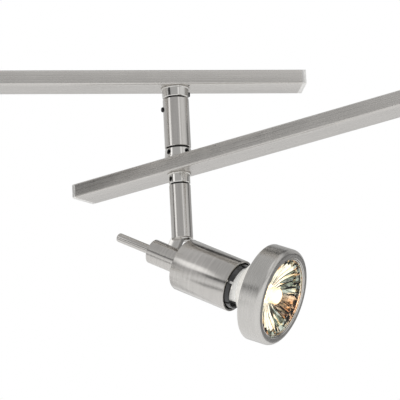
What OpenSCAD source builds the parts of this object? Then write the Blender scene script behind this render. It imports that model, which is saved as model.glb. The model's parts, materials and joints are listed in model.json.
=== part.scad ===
/* [Bars] */
// Width of each flat bar, a rectangular tube
bar_w = 20; // [17:1:28]
// Height of each flat bar
bar_h = 9.2; // [8.4:0.2:13]
// Wall of the bars
bar_wall = 1.2; // [1:0.1:1.8]
// Rounding along the bars' long edges
bar_edge_r = 1.1; // [0.5:0.1:1.5]
// Thickness of the plate that closes each bar end
cap_t = 2.4; // [1.5:0.1:4]
// How far an end cap's plug goes into the bar
cap_plug = 8; // [4:1:14]
// From the canopy's centre to each swing pivot
pivot_x = 200; // [150:5:300]
// From a swing pivot out to the end of the upper bar
upper_overhang = 80; // [40:2:140]
// From a swing pivot to the short end of its arm
arm_tail = 78; // [40:2:120]
// From a swing pivot to the far lamp head of its arm
arm_reach = 260; // [200:5:360]
// From the far lamp head to the long end of the arm
arm_tip = 78; // [40:2:120]
// Angle from the upper bar to each arm at rest
swing_rest = 47.5; // [0:0.5:90]

/* [Posts and collars] */
// Diameter of the posts above the arms
post_d = 16; // [14:0.5:22]
// Length of a post's tube between its two grooves
post_len = 30.8; // [24:0.2:60]
// Diameter of the stems that carry the lamp heads
stem_d = 13; // [12:0.5:14.5]
// Length of a stem below its groove
stem_len = 34; // [32:0.5:60]
// Height of every collar that seats on a bar
collar_h = 6.3; // [5:0.1:10]
// How far a collar's seating flange stands out all round
flange_out = 0.8; // [0.4:0.1:1.5]
// Height of a collar's seating flange
flange_h = 1; // [0.6:0.1:2]
// Height of the dark groove between a collar and its tube
groove_h = 0.9; // [0.8:0.1:1.6]
// Wall of the post and stem tubes
tube_wall = 1.5; // [1.2:0.1:2]
// Diameter of the hollow spigots that pass through the bar walls
spigot_d = 10; // [8:0.2:10.4]
// Diameter of the way for the wires through the posts and stems
wire_way_d = 6.4; // [5:0.2:7]
// How far a swivel bushing reaches into its tube
bushing_reach = 12; // [8:0.5:14]

/* [Canopy] */
// Diameter of the ceiling canopy
canopy_d = 127; // [116:1:150]
// Depth of the canopy
canopy_h = 24; // [18:1:40]
// Wall of the canopy
canopy_wall = 1.5; // [1:0.1:2.5]
// Rounding of the canopy's lower edge
canopy_round = 7; // [3:0.5:10]
// Spacing of the ceiling box's screw slots along the crossbar
box_spacing = 88.9; // [80:0.1:95]
// Width of a screw slot
box_slot_w = 4.8; // [4:0.1:5.5]
// End to end length of a screw slot
box_slot_len = 12; // [8:0.5:14]
// Spacing of the two screws that hold the canopy up
canopy_screw_spacing = 56; // [46:1:62]
// Thread diameter of the canopy screws
canopy_screw_d = 4; // [3:0.5:5]
// Width of the crossbar
crossbar_w = 22; // [18:1:28]
// Thickness of the crossbar
crossbar_t = 2; // [1.5:0.1:3]
// Diameter of the acorn nuts under the canopy
cap_nut_d = 9; // [7:0.5:12]

/* [Lamp head] */
// Outside diameter of the barrel
barrel_d = 32; // [30:0.5:36]
// Length of the barrel
barrel_len = 39; // [34:0.5:44]
// Wall of the barrel
barrel_wall = 1.4; // [1:0.1:1.8]
// Thickness of the barrel's closed rear end
barrel_floor = 3; // [2:0.2:5]
// Diameter of the neck behind the barrel
neck_d = 15; // [13:0.5:16]
// Length of the neck
neck_len = 23.5; // [20:0.5:34]
// Diameter of the aiming rod
rod_d = 5.6; // [4:0.1:7]
// Length of the aiming rod behind the neck
rod_len = 25.5; // [15:0.5:50]
// Height of the tilt pin above the stem's lower end
pin_h = 6.5; // [5.5:0.1:8]
// From the tilt pin down to the head's centre line
axis_drop = 19; // [17:0.5:22]
// From the tilt pin forward to the barrel's rear face, with the head level
barrel_x = 10.9; // [10:0.1:14]
// Diameter of the tilt pin
pin_d = 3; // [2:0.1:3.4]
// Thickness of the tongue that turns on the tilt pin
tongue_t = 4; // [3:0.1:5]
// Width of the tongue
tongue_w = 7; // [6:0.1:8]
// Angle of the head below level at rest
tilt_rest = 29; // [0:0.5:74]
// How far above level the head can tip
tilt_up = 10; // [0:1:12]
// Angle of the head from its arm at rest, seen from above
pan_rest = 15.5; // [-90:0.5:90]

/* [Lamp] */
// Diameter of the reflector lamp's front rim
lamp_d = 50; // [48:0.5:52]
// Length of the lamp from its base to its front glass
lamp_len = 45; // [42:0.5:50]
// Height of the lamp's front rim
lamp_rim_h = 2.2; // [1.5:0.1:4]
// Diameter of the lamp's ceramic base
lamp_base_d = 21; // [18:0.5:22]
// Length of the lamp's ceramic base
lamp_base_len = 20; // [16:0.5:24]
// Wall of the glass reflector
reflector_wall = 1.4; // [1:0.1:2]
// Thickness of the front glass
lens_t = 1.6; // [1:0.1:3]
// Depth of the lamp's base behind the barrel's mouth
lamp_seat_depth = 15; // [12:0.5:18]
// How far the lamp leans upwards in its holder
lamp_lean = 4.6; // [0:0.1:5]
// Outside diameter of the quartz capsule
capsule_d = 9.5; // [7:0.5:11]
// Air between the capsule's tip and the front glass
capsule_gap = 1.4; // [1:0.2:9]
// Diameter of the lamp's two contact pins
lamp_pin_d = 3; // [2:0.1:4]
// Spacing of the lamp's two contact pins
lamp_pin_spacing = 10; // [8:0.5:12]
// Length of the lamp's contact pins
lamp_pin_len = 6; // [4:0.5:7]

/* [Trim ring] */
// Outside diameter of the trim ring
ring_d = 59; // [57:0.5:66]
// Depth of the trim ring
ring_depth = 14.4; // [11:0.2:18]
// Diameter of the ring's front opening
ring_opening_d = 49; // [46:0.2:49.4]
// Wall of the ring's rear skirt
ring_wall = 1.6; // [1:0.1:2]
// Thickness of the ring's front lip
ring_lip = 1.2; // [0.8:0.1:2]
// Rounding of the ring's front edge
ring_round = 3; // [1:0.1:3.5]
// Depth of the pocket that takes the lamp's rim
ring_pocket = 4; // [3:0.2:6]

/* [Fits] */
// Clearance round a shaft that turns in a hole
run_clear = 0.05; // [0.02:0.01:0.1]
// Clearance round a part that is put in and stays
seat_clear = 0.1; // [0.05:0.01:0.2]
// Air between parts that move past each other
move_gap = 0.4; // [0.3:0.05:0.6]
// Least air round the leaning lamp inside its holder
holder_gap = 0.3; // [0.2:0.05:0.6]

/* [Hidden] */
$fn = 64;
eps = 0.01;
post_r = post_d / 2;
stem_r = stem_d / 2;
spigot_r = spigot_d / 2;
wire_way_r = wire_way_d / 2;
post_bore_r = post_r - tube_wall;
stem_bore_r = stem_r - tube_wall;
post_drop = 2 * collar_h + 2 * groove_h + post_len;   // from one bar face to the next
// Levels, downwards from the ceiling at zero
canopy_under = -canopy_h;
upper_top = canopy_under - post_drop;
upper_under = upper_top - bar_h;
arm_top = upper_under - post_drop;
arm_under = arm_top - bar_h;
stem_top = arm_under - collar_h - groove_h;
stem_end = stem_top - stem_len;
pin_z = stem_end + pin_h;
// Head lengths along its centre line, forward from the tilt pin
neck_x = barrel_x - neck_len;
mouth_x = barrel_x + barrel_len;
lamp_seat_x = mouth_x - lamp_seat_depth;
lamp_r = lamp_d / 2;
base_r = lamp_base_d / 2;
wiring_room = 6;                       // free depth of the barrel behind the holder
holder_out = 2.5;                      // how far the holder stands out of the barrel
holder_wall = 1.2;
holder_rear_x = barrel_x + barrel_floor + wiring_room;
holder_front_x = mouth_x + holder_out;
holder_bore_r = base_r / cos(lamp_lean) + (holder_front_x - lamp_seat_x) * tan(lamp_lean) + holder_gap;
holder_floor_x = lamp_seat_x - base_r * sin(lamp_lean) - seat_clear;
tongue_r = tongue_w / 2;
cheek_air = 0.3;                       // beside the tongue in the stem's slot
slot_w = tongue_t + 2 * cheek_air;
slot_top = pin_h + tongue_r + move_gap;
slot_front = tongue_r / cos(tilt_up) + pin_h * tan(tilt_up) + move_gap;
pin_wall = 1.2;                        // metal left beyond the blind end of the pin's hole
pin_blind_y = sqrt(stem_r * stem_r - pin_d * pin_d / 4) - pin_wall;
rim_wall = 1.6;                        // round the front glass
rim_r = lamp_r - rim_wall;
capsule_foot = 3;                      // how deep the capsule stands in the ceramic base
neck_step = 2;                         // from the neck's outside to its spigot's
rod_step = 0.5;                        // from the rod's outside to its spigot's
rod_spigot = 5.5;
post_screw_z = -6.1;                   // from the upper end of the post's tube
ring_r = ring_d / 2;
ring_front = lamp_len + ring_lip;      // along the lamp's own centre line
ring_rear = ring_front - ring_depth;
screw_d = 3;
lead_d = 2;

STEEL = [0.70, 0.69, 0.67];
POLISHED = [0.80, 0.79, 0.77];
PALE = [0.84, 0.83, 0.80];
BLACK = [0.07, 0.07, 0.07];
GLASS = [0.80, 0.88, 0.86, 0.5];
DICHROIC = [0.78, 0.74, 0.60];
ZINC = [0.62, 0.63, 0.62];

// ---- Places ----

// The right side as drawn, or the left side, which is the same turned half round
module on_side(side) rotate([0, 0, side == "left" ? 180 : 0]) children();

// An arm's own frame: its pivot at the origin, its long end along +X
module on_arm(side) on_side(side) translate([pivot_x, 0, 0]) rotate([0, 0, -swing_rest]) children();

// The frame of a stem: its axis is Z, and +X is the way its head points
module on_stem(side, x) on_arm(side) translate([x, 0, 0]) rotate([0, 0, pan_rest]) children();

// The frame of a head: the tilt pin along Y through the origin, +X forward along the head
module on_head(side, x) on_stem(side, x) translate([0, 0, pin_z]) rotate([0, tilt_rest, 0]) children();

// The frame of a head's centre line: Z forward along the barrel from the pin's foot
module on_axis() translate([0, 0, -axis_drop]) rotate([0, 90, 0]) children();

// The frame of the lamp: Z forward from its base, leaning in its holder
module on_lamp() on_axis() translate([0, 0, lamp_seat_x]) rotate([0, -lamp_lean, 0]) children();

// ---- Shared shapes ----

module rounded_rect(w, h, r) {
    square([w - 2 * r, h], center = true);
    square([w, h - 2 * r], center = true);
    for (x = [-1, 1], y = [-1, 1]) translate([x * (w / 2 - r), y * (h / 2 - r)]) circle(r);
}

// A bar's section drawn out along X from x0 to x1, its centre at height z
module bar_solid(x0, x1, z, w, h, r) {
    translate([x0, 0, z]) rotate([90, 0, 90]) linear_extrude(x1 - x0) rounded_rect(w, h, r);
}

// A rectangular tube with wire holes in its upper wall at xs_up and its lower wall at xs_down
module bar_tube(x0, x1, z, xs_up, xs_down) {
    difference() {
        bar_solid(x0, x1, z, bar_w, bar_h, bar_edge_r);
        bar_solid(x0 - 1, x1 + 1, z, bar_w - 2 * bar_wall, bar_h - 2 * bar_wall, 0.3);
        for (x = xs_up) translate([x, 0, z]) cylinder(h = bar_h, r = spigot_r + seat_clear);
        for (x = xs_down) translate([x, 0, z - bar_h]) cylinder(h = bar_h, r = spigot_r + seat_clear);
    }
}

// The plate and plug that close the bar end at x, facing out along dir
module end_cap(x, dir, z) {
    plug_w = bar_w - 2 * bar_wall - 2 * seat_clear;
    plug_h = bar_h - 2 * bar_wall - 2 * seat_clear;
    x_plate = dir > 0 ? x - cap_t : x;
    x_plug = dir > 0 ? x - cap_t - cap_plug : x + cap_t;
    union() {
        bar_solid(x_plate, x_plate + cap_t, z, bar_w, bar_h, bar_edge_r);
        translate([x_plug - (dir > 0 ? 0 : eps), -plug_w / 2, z - plug_h / 2]) cube([cap_plug + eps, plug_w, plug_h]);
    }
}

// A collar hanging from a face at z = 0, with a bore and screw holes at the given angles
module collar(r, bore, angles, taper = flange_out / 2) {
    difference() {
        union() {
            translate([0, 0, -flange_h]) cylinder(h = flange_h, r = r + flange_out);
            translate([0, 0, -collar_h]) cylinder(h = collar_h - flange_h + eps, r1 = r, r2 = r + taper);
        }
        translate([0, 0, -collar_h - 1]) cylinder(h = collar_h + 2, r = bore);
        for (a = angles) rotate([0, 0, a]) translate([bore - 1, 0, -collar_h / 2 - flange_h / 2])
            rotate([0, 90, 0]) cylinder(h = r + 2, r = screw_d / 2 + seat_clear);
    }
}

// A socket-head grub screw whose outer end stands at radius r
module grub_screw(r, bore, angle) {
    rotate([0, 0, angle]) translate([bore + seat_clear, 0, 0]) rotate([0, 90, 0]) difference() {
        cylinder(h = r - bore, r = screw_d / 2);
        translate([0, 0, r - bore - 1.2]) cylinder(h = 2, r = 0.95, $fn = 6);
    }
}

// A post's tube, hanging from a bar face at z = 0, with a spigot up through its collar and the bar wall
module post_tube() {
    spigot_top = bar_wall + 2;
    top = -collar_h - groove_h;
    head_t = 4;
    difference() {
        union() {
            translate([0, 0, top - post_len]) cylinder(h = post_len, r = post_r);
            translate([0, 0, top - eps]) cylinder(h = -top + spigot_top, r = spigot_r);
        }
        translate([0, 0, top - post_len - 1]) cylinder(h = post_len - head_t + 1, r = post_bore_r);
        translate([0, 0, top - post_len]) cylinder(h = post_len + 20, r = wire_way_r);
        translate([-post_r - 1, 0, top + post_screw_z]) rotate([0, 90, 0])
            cylinder(h = post_r, r = screw_d / 2 + seat_clear);
    }
}

// A hollow bushing that a tube turns on: its flange lies in the groove against the collar at z = 0
module bushing(tube_r, bore_r, up) {
    flange_t = groove_h - move_gap;
    shaft_r = bore_r - run_clear;
    difference() {
        union() {
            translate([0, 0, -up]) cylinder(h = up, r = spigot_r);
            cylinder(h = flange_t, r = tube_r - 1);
            translate([0, 0, flange_t - eps]) cylinder(h = bushing_reach, r = shaft_r);
        }
        translate([0, 0, -up - 1]) cylinder(h = up + bushing_reach + 4, r = wire_way_r);
    }
}

// ---- Ceiling canopy and its fixings ----

function arc(cx, cy, r, a0, a1, n) = [for (i = [0:n])
    [cx + r * cos(a0 + (a1 - a0) * i / n), cy + r * sin(a0 + (a1 - a0) * i / n)]];

module canopy() color(STEEL) {
    r_out = canopy_d / 2;
    r_in = r_out - canopy_wall;
    difference() {
        rotate_extrude() polygon(concat(
            [[0, -canopy_h]],
            arc(r_out - canopy_round, -canopy_h + canopy_round, canopy_round, -90, 0, 8),
            [[r_out, 0], [r_in, 0]],
            arc(r_out - canopy_round, -canopy_h + canopy_round, canopy_round - canopy_wall, 0, -90, 8),
            [[0, -canopy_h + canopy_wall]]));
        translate([0, 0, -canopy_h - 1]) cylinder(h = 4, r = spigot_r + seat_clear);
        for (s = [-1, 1]) translate([0, s * canopy_screw_spacing / 2, -canopy_h - 1])
            cylinder(h = 4, r = canopy_screw_d / 2 + 0.3);
    }
}

module crossbar() color(ZINC) {
    len = box_spacing + box_slot_len + 8;
    difference() {
        translate([-crossbar_w / 2, -len / 2, -crossbar_t]) cube([crossbar_w, len, crossbar_t]);
        translate([0, 0, -crossbar_t - 1]) cylinder(h = crossbar_t + 2, r = spigot_r);
        for (s = [-1, 1]) {
            translate([0, s * canopy_screw_spacing / 2, -crossbar_t - 1])
                cylinder(h = crossbar_t + 2, r = canopy_screw_d / 2 + seat_clear);
            for (e = [-1, 1]) translate([0, s * box_spacing / 2 + e * (box_slot_len - box_slot_w) / 2, -crossbar_t - 1])
                cylinder(h = crossbar_t + 2, r = box_slot_w / 2);
            translate([-box_slot_w / 2, s * box_spacing / 2 - (box_slot_len - box_slot_w) / 2, -crossbar_t - 1])
                cube([box_slot_w, box_slot_len - box_slot_w, crossbar_t + 2]);
        }
    }
}

// Two studs with heads above the canopy's floor, and an acorn nut on each
module canopy_screws() color(POLISHED) {
    washer_t = 0.8;
    nut_h = 3.5;
    bore_r = canopy_screw_d / 2 + seat_clear;
    for (s = [-1, 1]) translate([0, s * canopy_screw_spacing / 2, 0]) {
        translate([0, 0, -canopy_h - 4]) cylinder(h = canopy_h + 4 - eps, r = canopy_screw_d / 2);
        difference() {
            union() {
                translate([0, 0, -canopy_h - washer_t]) cylinder(h = washer_t, r = cap_nut_d / 2 + 1);
                translate([0, 0, -canopy_h - washer_t - nut_h]) cylinder(h = nut_h, r = cap_nut_d / 2);
                translate([0, 0, -canopy_h - washer_t - nut_h]) sphere(r = cap_nut_d / 2);
            }
            translate([0, 0, -canopy_h - 4.2]) cylinder(h = 6, r = bore_r);
            translate([0, 0, -canopy_h]) cylinder(h = 10, r = cap_nut_d);
        }
    }
}

// Where the three wire nuts lie in the canopy, spread so that their leads leave the bore apart
nut_ring_r = 36;
nut_z = -12;
nut_angles = [0, 130, 230];

module wire_nuts() color([0.85, 0.45, 0.10]) {
    nut_len = 15;
    for (a = nut_angles) rotate([0, 0, a]) translate([nut_ring_r, 0, nut_z]) rotate([0, -90, 0]) difference() {
        cylinder(h = nut_len, r1 = 3.2, r2 = 4.6);
        translate([0, 0, 5]) cylinder(h = nut_len, r = lead_d / 2 + 1.3);
    }
}

// Three leads from the bore of the canopy's post, each with one bend out into its wire nut
module supply_leads() {
    sheaths = [[0.06, 0.06, 0.06], [0.92, 0.92, 0.90], [0.10, 0.45, 0.16]];
    bend_r = 5;
    bore_x = 1.6;
    start_z = -canopy_h - collar_h;
    for (i = [0:2]) color(sheaths[i]) rotate([0, 0, nut_angles[i]]) {
        translate([bore_x, 0, start_z]) cylinder(h = nut_z - bend_r - start_z, r = lead_d / 2);
        translate([bore_x + bend_r, 0, nut_z - bend_r]) rotate([90, 0, 0]) rotate([0, 0, 90])
            rotate_extrude(angle = 90) translate([bend_r, 0]) circle(lead_d / 2);
        translate([bore_x + bend_r, 0, nut_z]) rotate([0, 90, 0])
            cylinder(h = nut_ring_r - 6 - bore_x - bend_r, r = lead_d / 2);
    }
}

// ---- Upper bar and posts ----

upper_half = pivot_x + upper_overhang;

module upper_bar() color(STEEL)
    bar_tube(-upper_half + cap_t, upper_half - cap_t, upper_top - bar_h / 2, [0], [-pivot_x, pivot_x]);

module upper_end_caps() color(PALE) for (s = [-1, 1]) end_cap(s * upper_half, s, upper_top - bar_h / 2);

// One post above the upper bar, and one at each swing pivot below it
module post_tubes() color(STEEL) {
    for (s = ["right", "left"]) on_side(s) translate([pivot_x, 0, upper_under]) post_tube();
    translate([0, 0, upper_top]) difference() {
        union() {
            translate([0, 0, collar_h + groove_h]) cylinder(h = post_len, r = post_r);
            translate([0, 0, -bar_wall - 2]) cylinder(h = post_drop + bar_wall + 2 + canopy_wall + 2, r = spigot_r);
        }
        translate([0, 0, -10]) cylinder(h = post_drop + 30, r = wire_way_r);
    }
}

module post_collars() color(POLISHED) {
    bore = spigot_r + seat_clear;
    for (s = ["right", "left"]) on_side(s) translate([pivot_x, 0, upper_under]) collar(post_r, bore, [0]);
    translate([0, 0, canopy_under]) collar(post_r, bore, []);
    translate([0, 0, upper_top]) mirror([0, 0, 1]) collar(post_r, bore, [-60]);
}

// A black screw standing out of each collar, and a domed one in each post's side
module post_screws() color(BLACK) {
    bore = spigot_r + seat_clear;
    z = -collar_h / 2 - flange_h / 2;
    head_r = screw_d / 2 + 0.1;
    for (s = ["right", "left"]) on_side(s) translate([pivot_x, 0, upper_under]) {
        translate([0, 0, z]) grub_screw(post_r + 0.9, bore, 0);
        translate([-post_bore_r - seat_clear, 0, -collar_h - groove_h + post_screw_z]) rotate([0, -90, 0]) {
            cylinder(h = tube_wall, r = screw_d / 2);
            translate([0, 0, tube_wall + 0.05]) intersection() {
                cylinder(h = 1.2, r = head_r);
                translate([0, 0, -head_r + 1.2]) sphere(r = head_r * 1.25);
            }
        }
    }
    translate([0, 0, upper_top - z]) grub_screw(post_r, bore, -60);
}

// ---- Swing arms ----

arm_z = arm_top - bar_h / 2;
arm_end = arm_reach + arm_tip;
stem_spots = [0, arm_reach];
hub_angles = [-95, -10];
stem_angles = [-107, 100];
slot_angle = -48;

module arm_bar(side) color(STEEL) on_arm(side)
    bar_tube(-arm_tail + cap_t, arm_end - cap_t, arm_z, [0], stem_spots);

module arm_end_caps(side) color(PALE) on_arm(side) {
    end_cap(-arm_tail, -1, arm_z);
    end_cap(arm_end, 1, arm_z);
}

// The hub collar on the arm's pivot, and a slotted collar over each stem
module arm_collars(side) color(POLISHED) on_arm(side) {
    bore = spigot_r + seat_clear;
    translate([0, 0, arm_top]) mirror([0, 0, 1]) collar(post_r, bore, hub_angles);
    for (x = stem_spots) translate([x, 0, arm_under]) difference() {
        collar(stem_r, bore, stem_angles, 0);
        rotate([0, 0, slot_angle]) translate([stem_r - 0.9, -0.5, -collar_h + 1]) cube([3, 1, 3.6]);
    }
}

module arm_grub_screws(side) color(BLACK) on_arm(side) {
    bore = spigot_r + seat_clear;
    z = collar_h / 2 + flange_h / 2;
    for (a = hub_angles) translate([0, 0, arm_top + z]) grub_screw(post_r - 0.3, bore, a);
    for (x = stem_spots, a = stem_angles) translate([x, 0, arm_under - z]) grub_screw(stem_r - 0.3, bore, a);
}

// The swivel bushing that turns in the post, and one that each stem turns on
module arm_bushings(side) color(BLACK) on_arm(side) {
    up = collar_h + bar_wall + 2;
    translate([0, 0, arm_top + collar_h]) bushing(post_r, post_bore_r, up);
    for (x = stem_spots) translate([x, 0, arm_under - collar_h]) mirror([0, 0, 1]) bushing(stem_r, stem_bore_r, up);
}

// ---- Lamp head ----

// The stem: a tube above, solid below. The tongue's slot is open behind, and the pin's hole is blind in front
module stem(side, x) color(STEEL) on_stem(side, x) {
    solid_h = slot_top + 4;
    difference() {
        translate([0, 0, stem_end]) cylinder(h = stem_len, r = stem_r);
        translate([0, 0, stem_end + solid_h]) cylinder(h = stem_len, r = stem_bore_r);
        translate([0, 0, stem_end - 1]) cylinder(h = stem_len + 2, r = 2);
        translate([-stem_r - 1, -slot_w / 2, stem_end - 1]) cube([stem_r + 1 + slot_front, slot_w, slot_top + 1]);
        translate([0, -pin_blind_y, pin_z]) rotate([-90, 0, 0]) cylinder(h = stem_d, r = pin_d / 2 + eps);
    }
}

module tilt_pin(side, x) color(POLISHED) on_stem(side, x) translate([0, 0, pin_z]) {
    blind = pin_blind_y - seat_clear;
    translate([0, -blind, 0]) rotate([-90, 0, 0])
        cylinder(h = blind + pin_blind_y + pin_wall - seat_clear, r = pin_d / 2);
}

// The neck, with its tongue up to the tilt pin and a spigot into the barrel's rear end
module neck(side, x) color(STEEL) on_head(side, x) {
    spigot = barrel_floor + 2;
    difference() {
        union() {
            on_axis() translate([0, 0, neck_x]) cylinder(h = neck_len, r = neck_d / 2);
            on_axis() translate([0, 0, barrel_x - eps]) cylinder(h = spigot, r = neck_d / 2 - neck_step);
            translate([-tongue_r, -tongue_t / 2, -axis_drop]) cube([tongue_w, tongue_t, axis_drop]);
            rotate([90, 0, 0]) cylinder(h = tongue_t, r = tongue_r, center = true);
        }
        rotate([90, 0, 0]) cylinder(h = tongue_t + 2, r = pin_d / 2 + run_clear, center = true);
        on_axis() translate([0, 0, neck_x - 1]) cylinder(h = rod_spigot + 1.5, r = rod_d / 2 - rod_step + seat_clear);
        on_axis() translate([0, 0, neck_x + 8]) cylinder(h = neck_len + spigot, r = neck_d / 2 - 2 * neck_step);
    }
}

module barrel(side, x) color(STEEL) on_head(side, x) on_axis() translate([0, 0, barrel_x]) {
    r = barrel_d / 2;
    chamfer = 0.8;
    difference() {
        rotate_extrude() polygon([[0, 0], [r - chamfer, 0], [r, chamfer], [r, barrel_len], [0, barrel_len]]);
        translate([0, 0, barrel_floor]) cylinder(h = barrel_len, r = r - barrel_wall);
        translate([0, 0, -1]) cylinder(h = barrel_floor + 2, r = neck_d / 2 - neck_step + seat_clear);
    }
}

module aiming_rod(side, x) color(STEEL) on_head(side, x) on_axis() translate([0, 0, neck_x]) {
    tip = 1.4;
    union() {
        rotate_extrude() polygon(concat(
            [[0, 0], [rod_d / 2, 0]],
            arc(rod_d / 2 - tip, -rod_len + tip, tip, 0, -90, 6),
            [[0, -rod_len]]));
        translate([0, 0, -eps]) cylinder(h = rod_spigot, r = rod_d / 2 - rod_step);
    }
}

// The black socket body: a floor with two contact holes, and a ribbed sleeve round the lamp's base
module lamp_holder(side, x) color(BLACK) on_head(side, x) on_axis() {
    r = holder_bore_r + holder_wall;
    difference() {
        union() {
            translate([0, 0, holder_rear_x]) cylinder(h = holder_front_x - holder_rear_x, r = r);
            for (z = [4, 8]) translate([0, 0, holder_front_x - z]) cylinder(h = 1.2, r = r + 0.5);
        }
        translate([0, 0, holder_floor_x]) cylinder(h = barrel_len, r = holder_bore_r);
        for (s = [-1, 1]) translate([0, s * lamp_pin_spacing / 2, holder_rear_x - 1])
            cylinder(h = barrel_len, r = lamp_pin_d / 2 + lamp_pin_len * sin(lamp_lean) + seat_clear);
    }
}

// Outer radius of the glass reflector at a share t of the way from its throat to its rim
function bowl_r(t, throat, rim) = throat + (rim - throat) * pow(t, 0.62);

// The reflector with its ceramic base and two contact pins, which the maker joins for good
module reflector(side, x) color(DICHROIC) on_head(side, x) on_lamp() {
    steps = 10;
    rim_z = lamp_len - lamp_rim_h;
    depth = rim_z - lamp_base_len;
    throat_r = 12;
    inner_throat_r = capsule_d / 2 + 1;
    union() {
        rotate_extrude() polygon(concat(
            [[0, 0], [base_r, 0], [base_r, lamp_base_len], [throat_r, lamp_base_len]],
            [for (i = [1:steps]) [bowl_r(i / steps, throat_r, lamp_r), lamp_base_len + depth * i / steps]],
            [[lamp_r, lamp_len], [rim_r, lamp_len], [rim_r, lamp_len - lens_t]],
            [for (i = [steps:-1:0]) [
                bowl_r(i / steps, inner_throat_r, rim_r - 0.6),
                lamp_base_len + reflector_wall + (lamp_len - lens_t - lamp_base_len - reflector_wall) * i / steps]],
            [[inner_throat_r, lamp_base_len - capsule_foot], [0, lamp_base_len - capsule_foot]]));
        for (s = [-1, 1]) translate([0, s * lamp_pin_spacing / 2, -lamp_pin_len])
            cylinder(h = lamp_pin_len + eps, r = lamp_pin_d / 2);
    }
}

// The quartz capsule, standing in the reflector's throat
module capsule(side, x) color([1, 0.85, 0.6]) on_head(side, x) on_lamp() {
    r = capsule_d / 2;
    foot_z = lamp_base_len - capsule_foot;
    translate([0, 0, foot_z]) rotate_extrude() polygon(concat(
        [[0, 0], [r, 0]],
        arc(0, lamp_len - lens_t - capsule_gap - foot_z - r, r, 0, 90, 8)));
}

module lens(side, x) color(GLASS) on_head(side, x) on_lamp()
    translate([0, 0, lamp_len - lens_t]) cylinder(h = lens_t, r = rim_r - seat_clear);

// The trim ring: a skirt, a pocket for the lamp's rim and a front lip with a rounded edge
module trim_ring(side, x) color(POLISHED) on_head(side, x) on_lamp() {
    pocket_r = lamp_r + seat_clear;
    skirt_r = ring_r - ring_wall;
    shoulder_z = ring_front - ring_lip - ring_pocket;
    rotate_extrude() polygon(concat(
        [[ring_r, ring_rear]],
        arc(ring_r - ring_round, ring_front - ring_round, ring_round, 0, 90, 6),
        [[ring_opening_d / 2, ring_front], [ring_opening_d / 2, lamp_len], [pocket_r, lamp_len],
         [pocket_r, shoulder_z], [skirt_r, shoulder_z], [skirt_r, ring_rear]]));
}

// ---- One module for each node ----

module right_arm_bar() arm_bar("right");
module right_arm_end_caps() arm_end_caps("right");
module right_arm_collars() arm_collars("right");
module right_arm_grub_screws() arm_grub_screws("right");
module right_arm_bushings() arm_bushings("right");
module left_arm_bar() arm_bar("left");
module left_arm_end_caps() arm_end_caps("left");
module left_arm_collars() arm_collars("left");
module left_arm_grub_screws() arm_grub_screws("left");
module left_arm_bushings() arm_bushings("left");
module right_near_stem() stem("right", 0);
module right_near_tilt_pin() tilt_pin("right", 0);
module right_near_neck() neck("right", 0);
module right_near_barrel() barrel("right", 0);
module right_near_aiming_rod() aiming_rod("right", 0);
module right_near_lamp_holder() lamp_holder("right", 0);
module right_near_reflector() reflector("right", 0);
module right_near_capsule() capsule("right", 0);
module right_near_lens() lens("right", 0);
module right_near_trim_ring() trim_ring("right", 0);
module right_far_stem() stem("right", arm_reach);
module right_far_tilt_pin() tilt_pin("right", arm_reach);
module right_far_neck() neck("right", arm_reach);
module right_far_barrel() barrel("right", arm_reach);
module right_far_aiming_rod() aiming_rod("right", arm_reach);
module right_far_lamp_holder() lamp_holder("right", arm_reach);
module right_far_reflector() reflector("right", arm_reach);
module right_far_capsule() capsule("right", arm_reach);
module right_far_lens() lens("right", arm_reach);
module right_far_trim_ring() trim_ring("right", arm_reach);
module left_near_stem() stem("left", 0);
module left_near_tilt_pin() tilt_pin("left", 0);
module left_near_neck() neck("left", 0);
module left_near_barrel() barrel("left", 0);
module left_near_aiming_rod() aiming_rod("left", 0);
module left_near_lamp_holder() lamp_holder("left", 0);
module left_near_reflector() reflector("left", 0);
module left_near_capsule() capsule("left", 0);
module left_near_lens() lens("left", 0);
module left_near_trim_ring() trim_ring("left", 0);
module left_far_stem() stem("left", arm_reach);
module left_far_tilt_pin() tilt_pin("left", arm_reach);
module left_far_neck() neck("left", arm_reach);
module left_far_barrel() barrel("left", arm_reach);
module left_far_aiming_rod() aiming_rod("left", arm_reach);
module left_far_lamp_holder() lamp_holder("left", arm_reach);
module left_far_reflector() reflector("left", arm_reach);
module left_far_capsule() capsule("left", arm_reach);
module left_far_lens() lens("left", arm_reach);
module left_far_trim_ring() trim_ring("left", arm_reach);

canopy();
crossbar();
canopy_screws();
wire_nuts();
supply_leads();
upper_bar();
upper_end_caps();
post_tubes();
post_collars();
post_screws();
right_arm_bar();
right_arm_end_caps();
right_arm_collars();
right_arm_grub_screws();
right_arm_bushings();
left_arm_bar();
left_arm_end_caps();
left_arm_collars();
left_arm_grub_screws();
left_arm_bushings();
right_near_stem();
right_near_tilt_pin();
right_near_neck();
right_near_barrel();
right_near_aiming_rod();
right_near_lamp_holder();
right_near_reflector();
right_near_capsule();
right_near_lens();
right_near_trim_ring();
right_far_stem();
right_far_tilt_pin();
right_far_neck();
right_far_barrel();
right_far_aiming_rod();
right_far_lamp_holder();
right_far_reflector();
right_far_capsule();
right_far_lens();
right_far_trim_ring();
left_near_stem();
left_near_tilt_pin();
left_near_neck();
left_near_barrel();
left_near_aiming_rod();
left_near_lamp_holder();
left_near_reflector();
left_near_capsule();
left_near_lens();
left_near_trim_ring();
left_far_stem();
left_far_tilt_pin();
left_far_neck();
left_far_barrel();
left_far_aiming_rod();
left_far_lamp_holder();
left_far_reflector();
left_far_capsule();
left_far_lens();
left_far_trim_ring();
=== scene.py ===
"""Looks of the track lighting fixture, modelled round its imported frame.

Two swing arms hang on posts under a flat bar, which hangs on a post under the ceiling canopy. Each
arm carries two spotlight heads on stems. Each class from FlatBar to TrimRing is one kind of part: its
fields are sizes in millimetres, and its methods model the pieces in the part's own frame. The build
methods set them in place by the frame's joints and boxes.
"""

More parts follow.
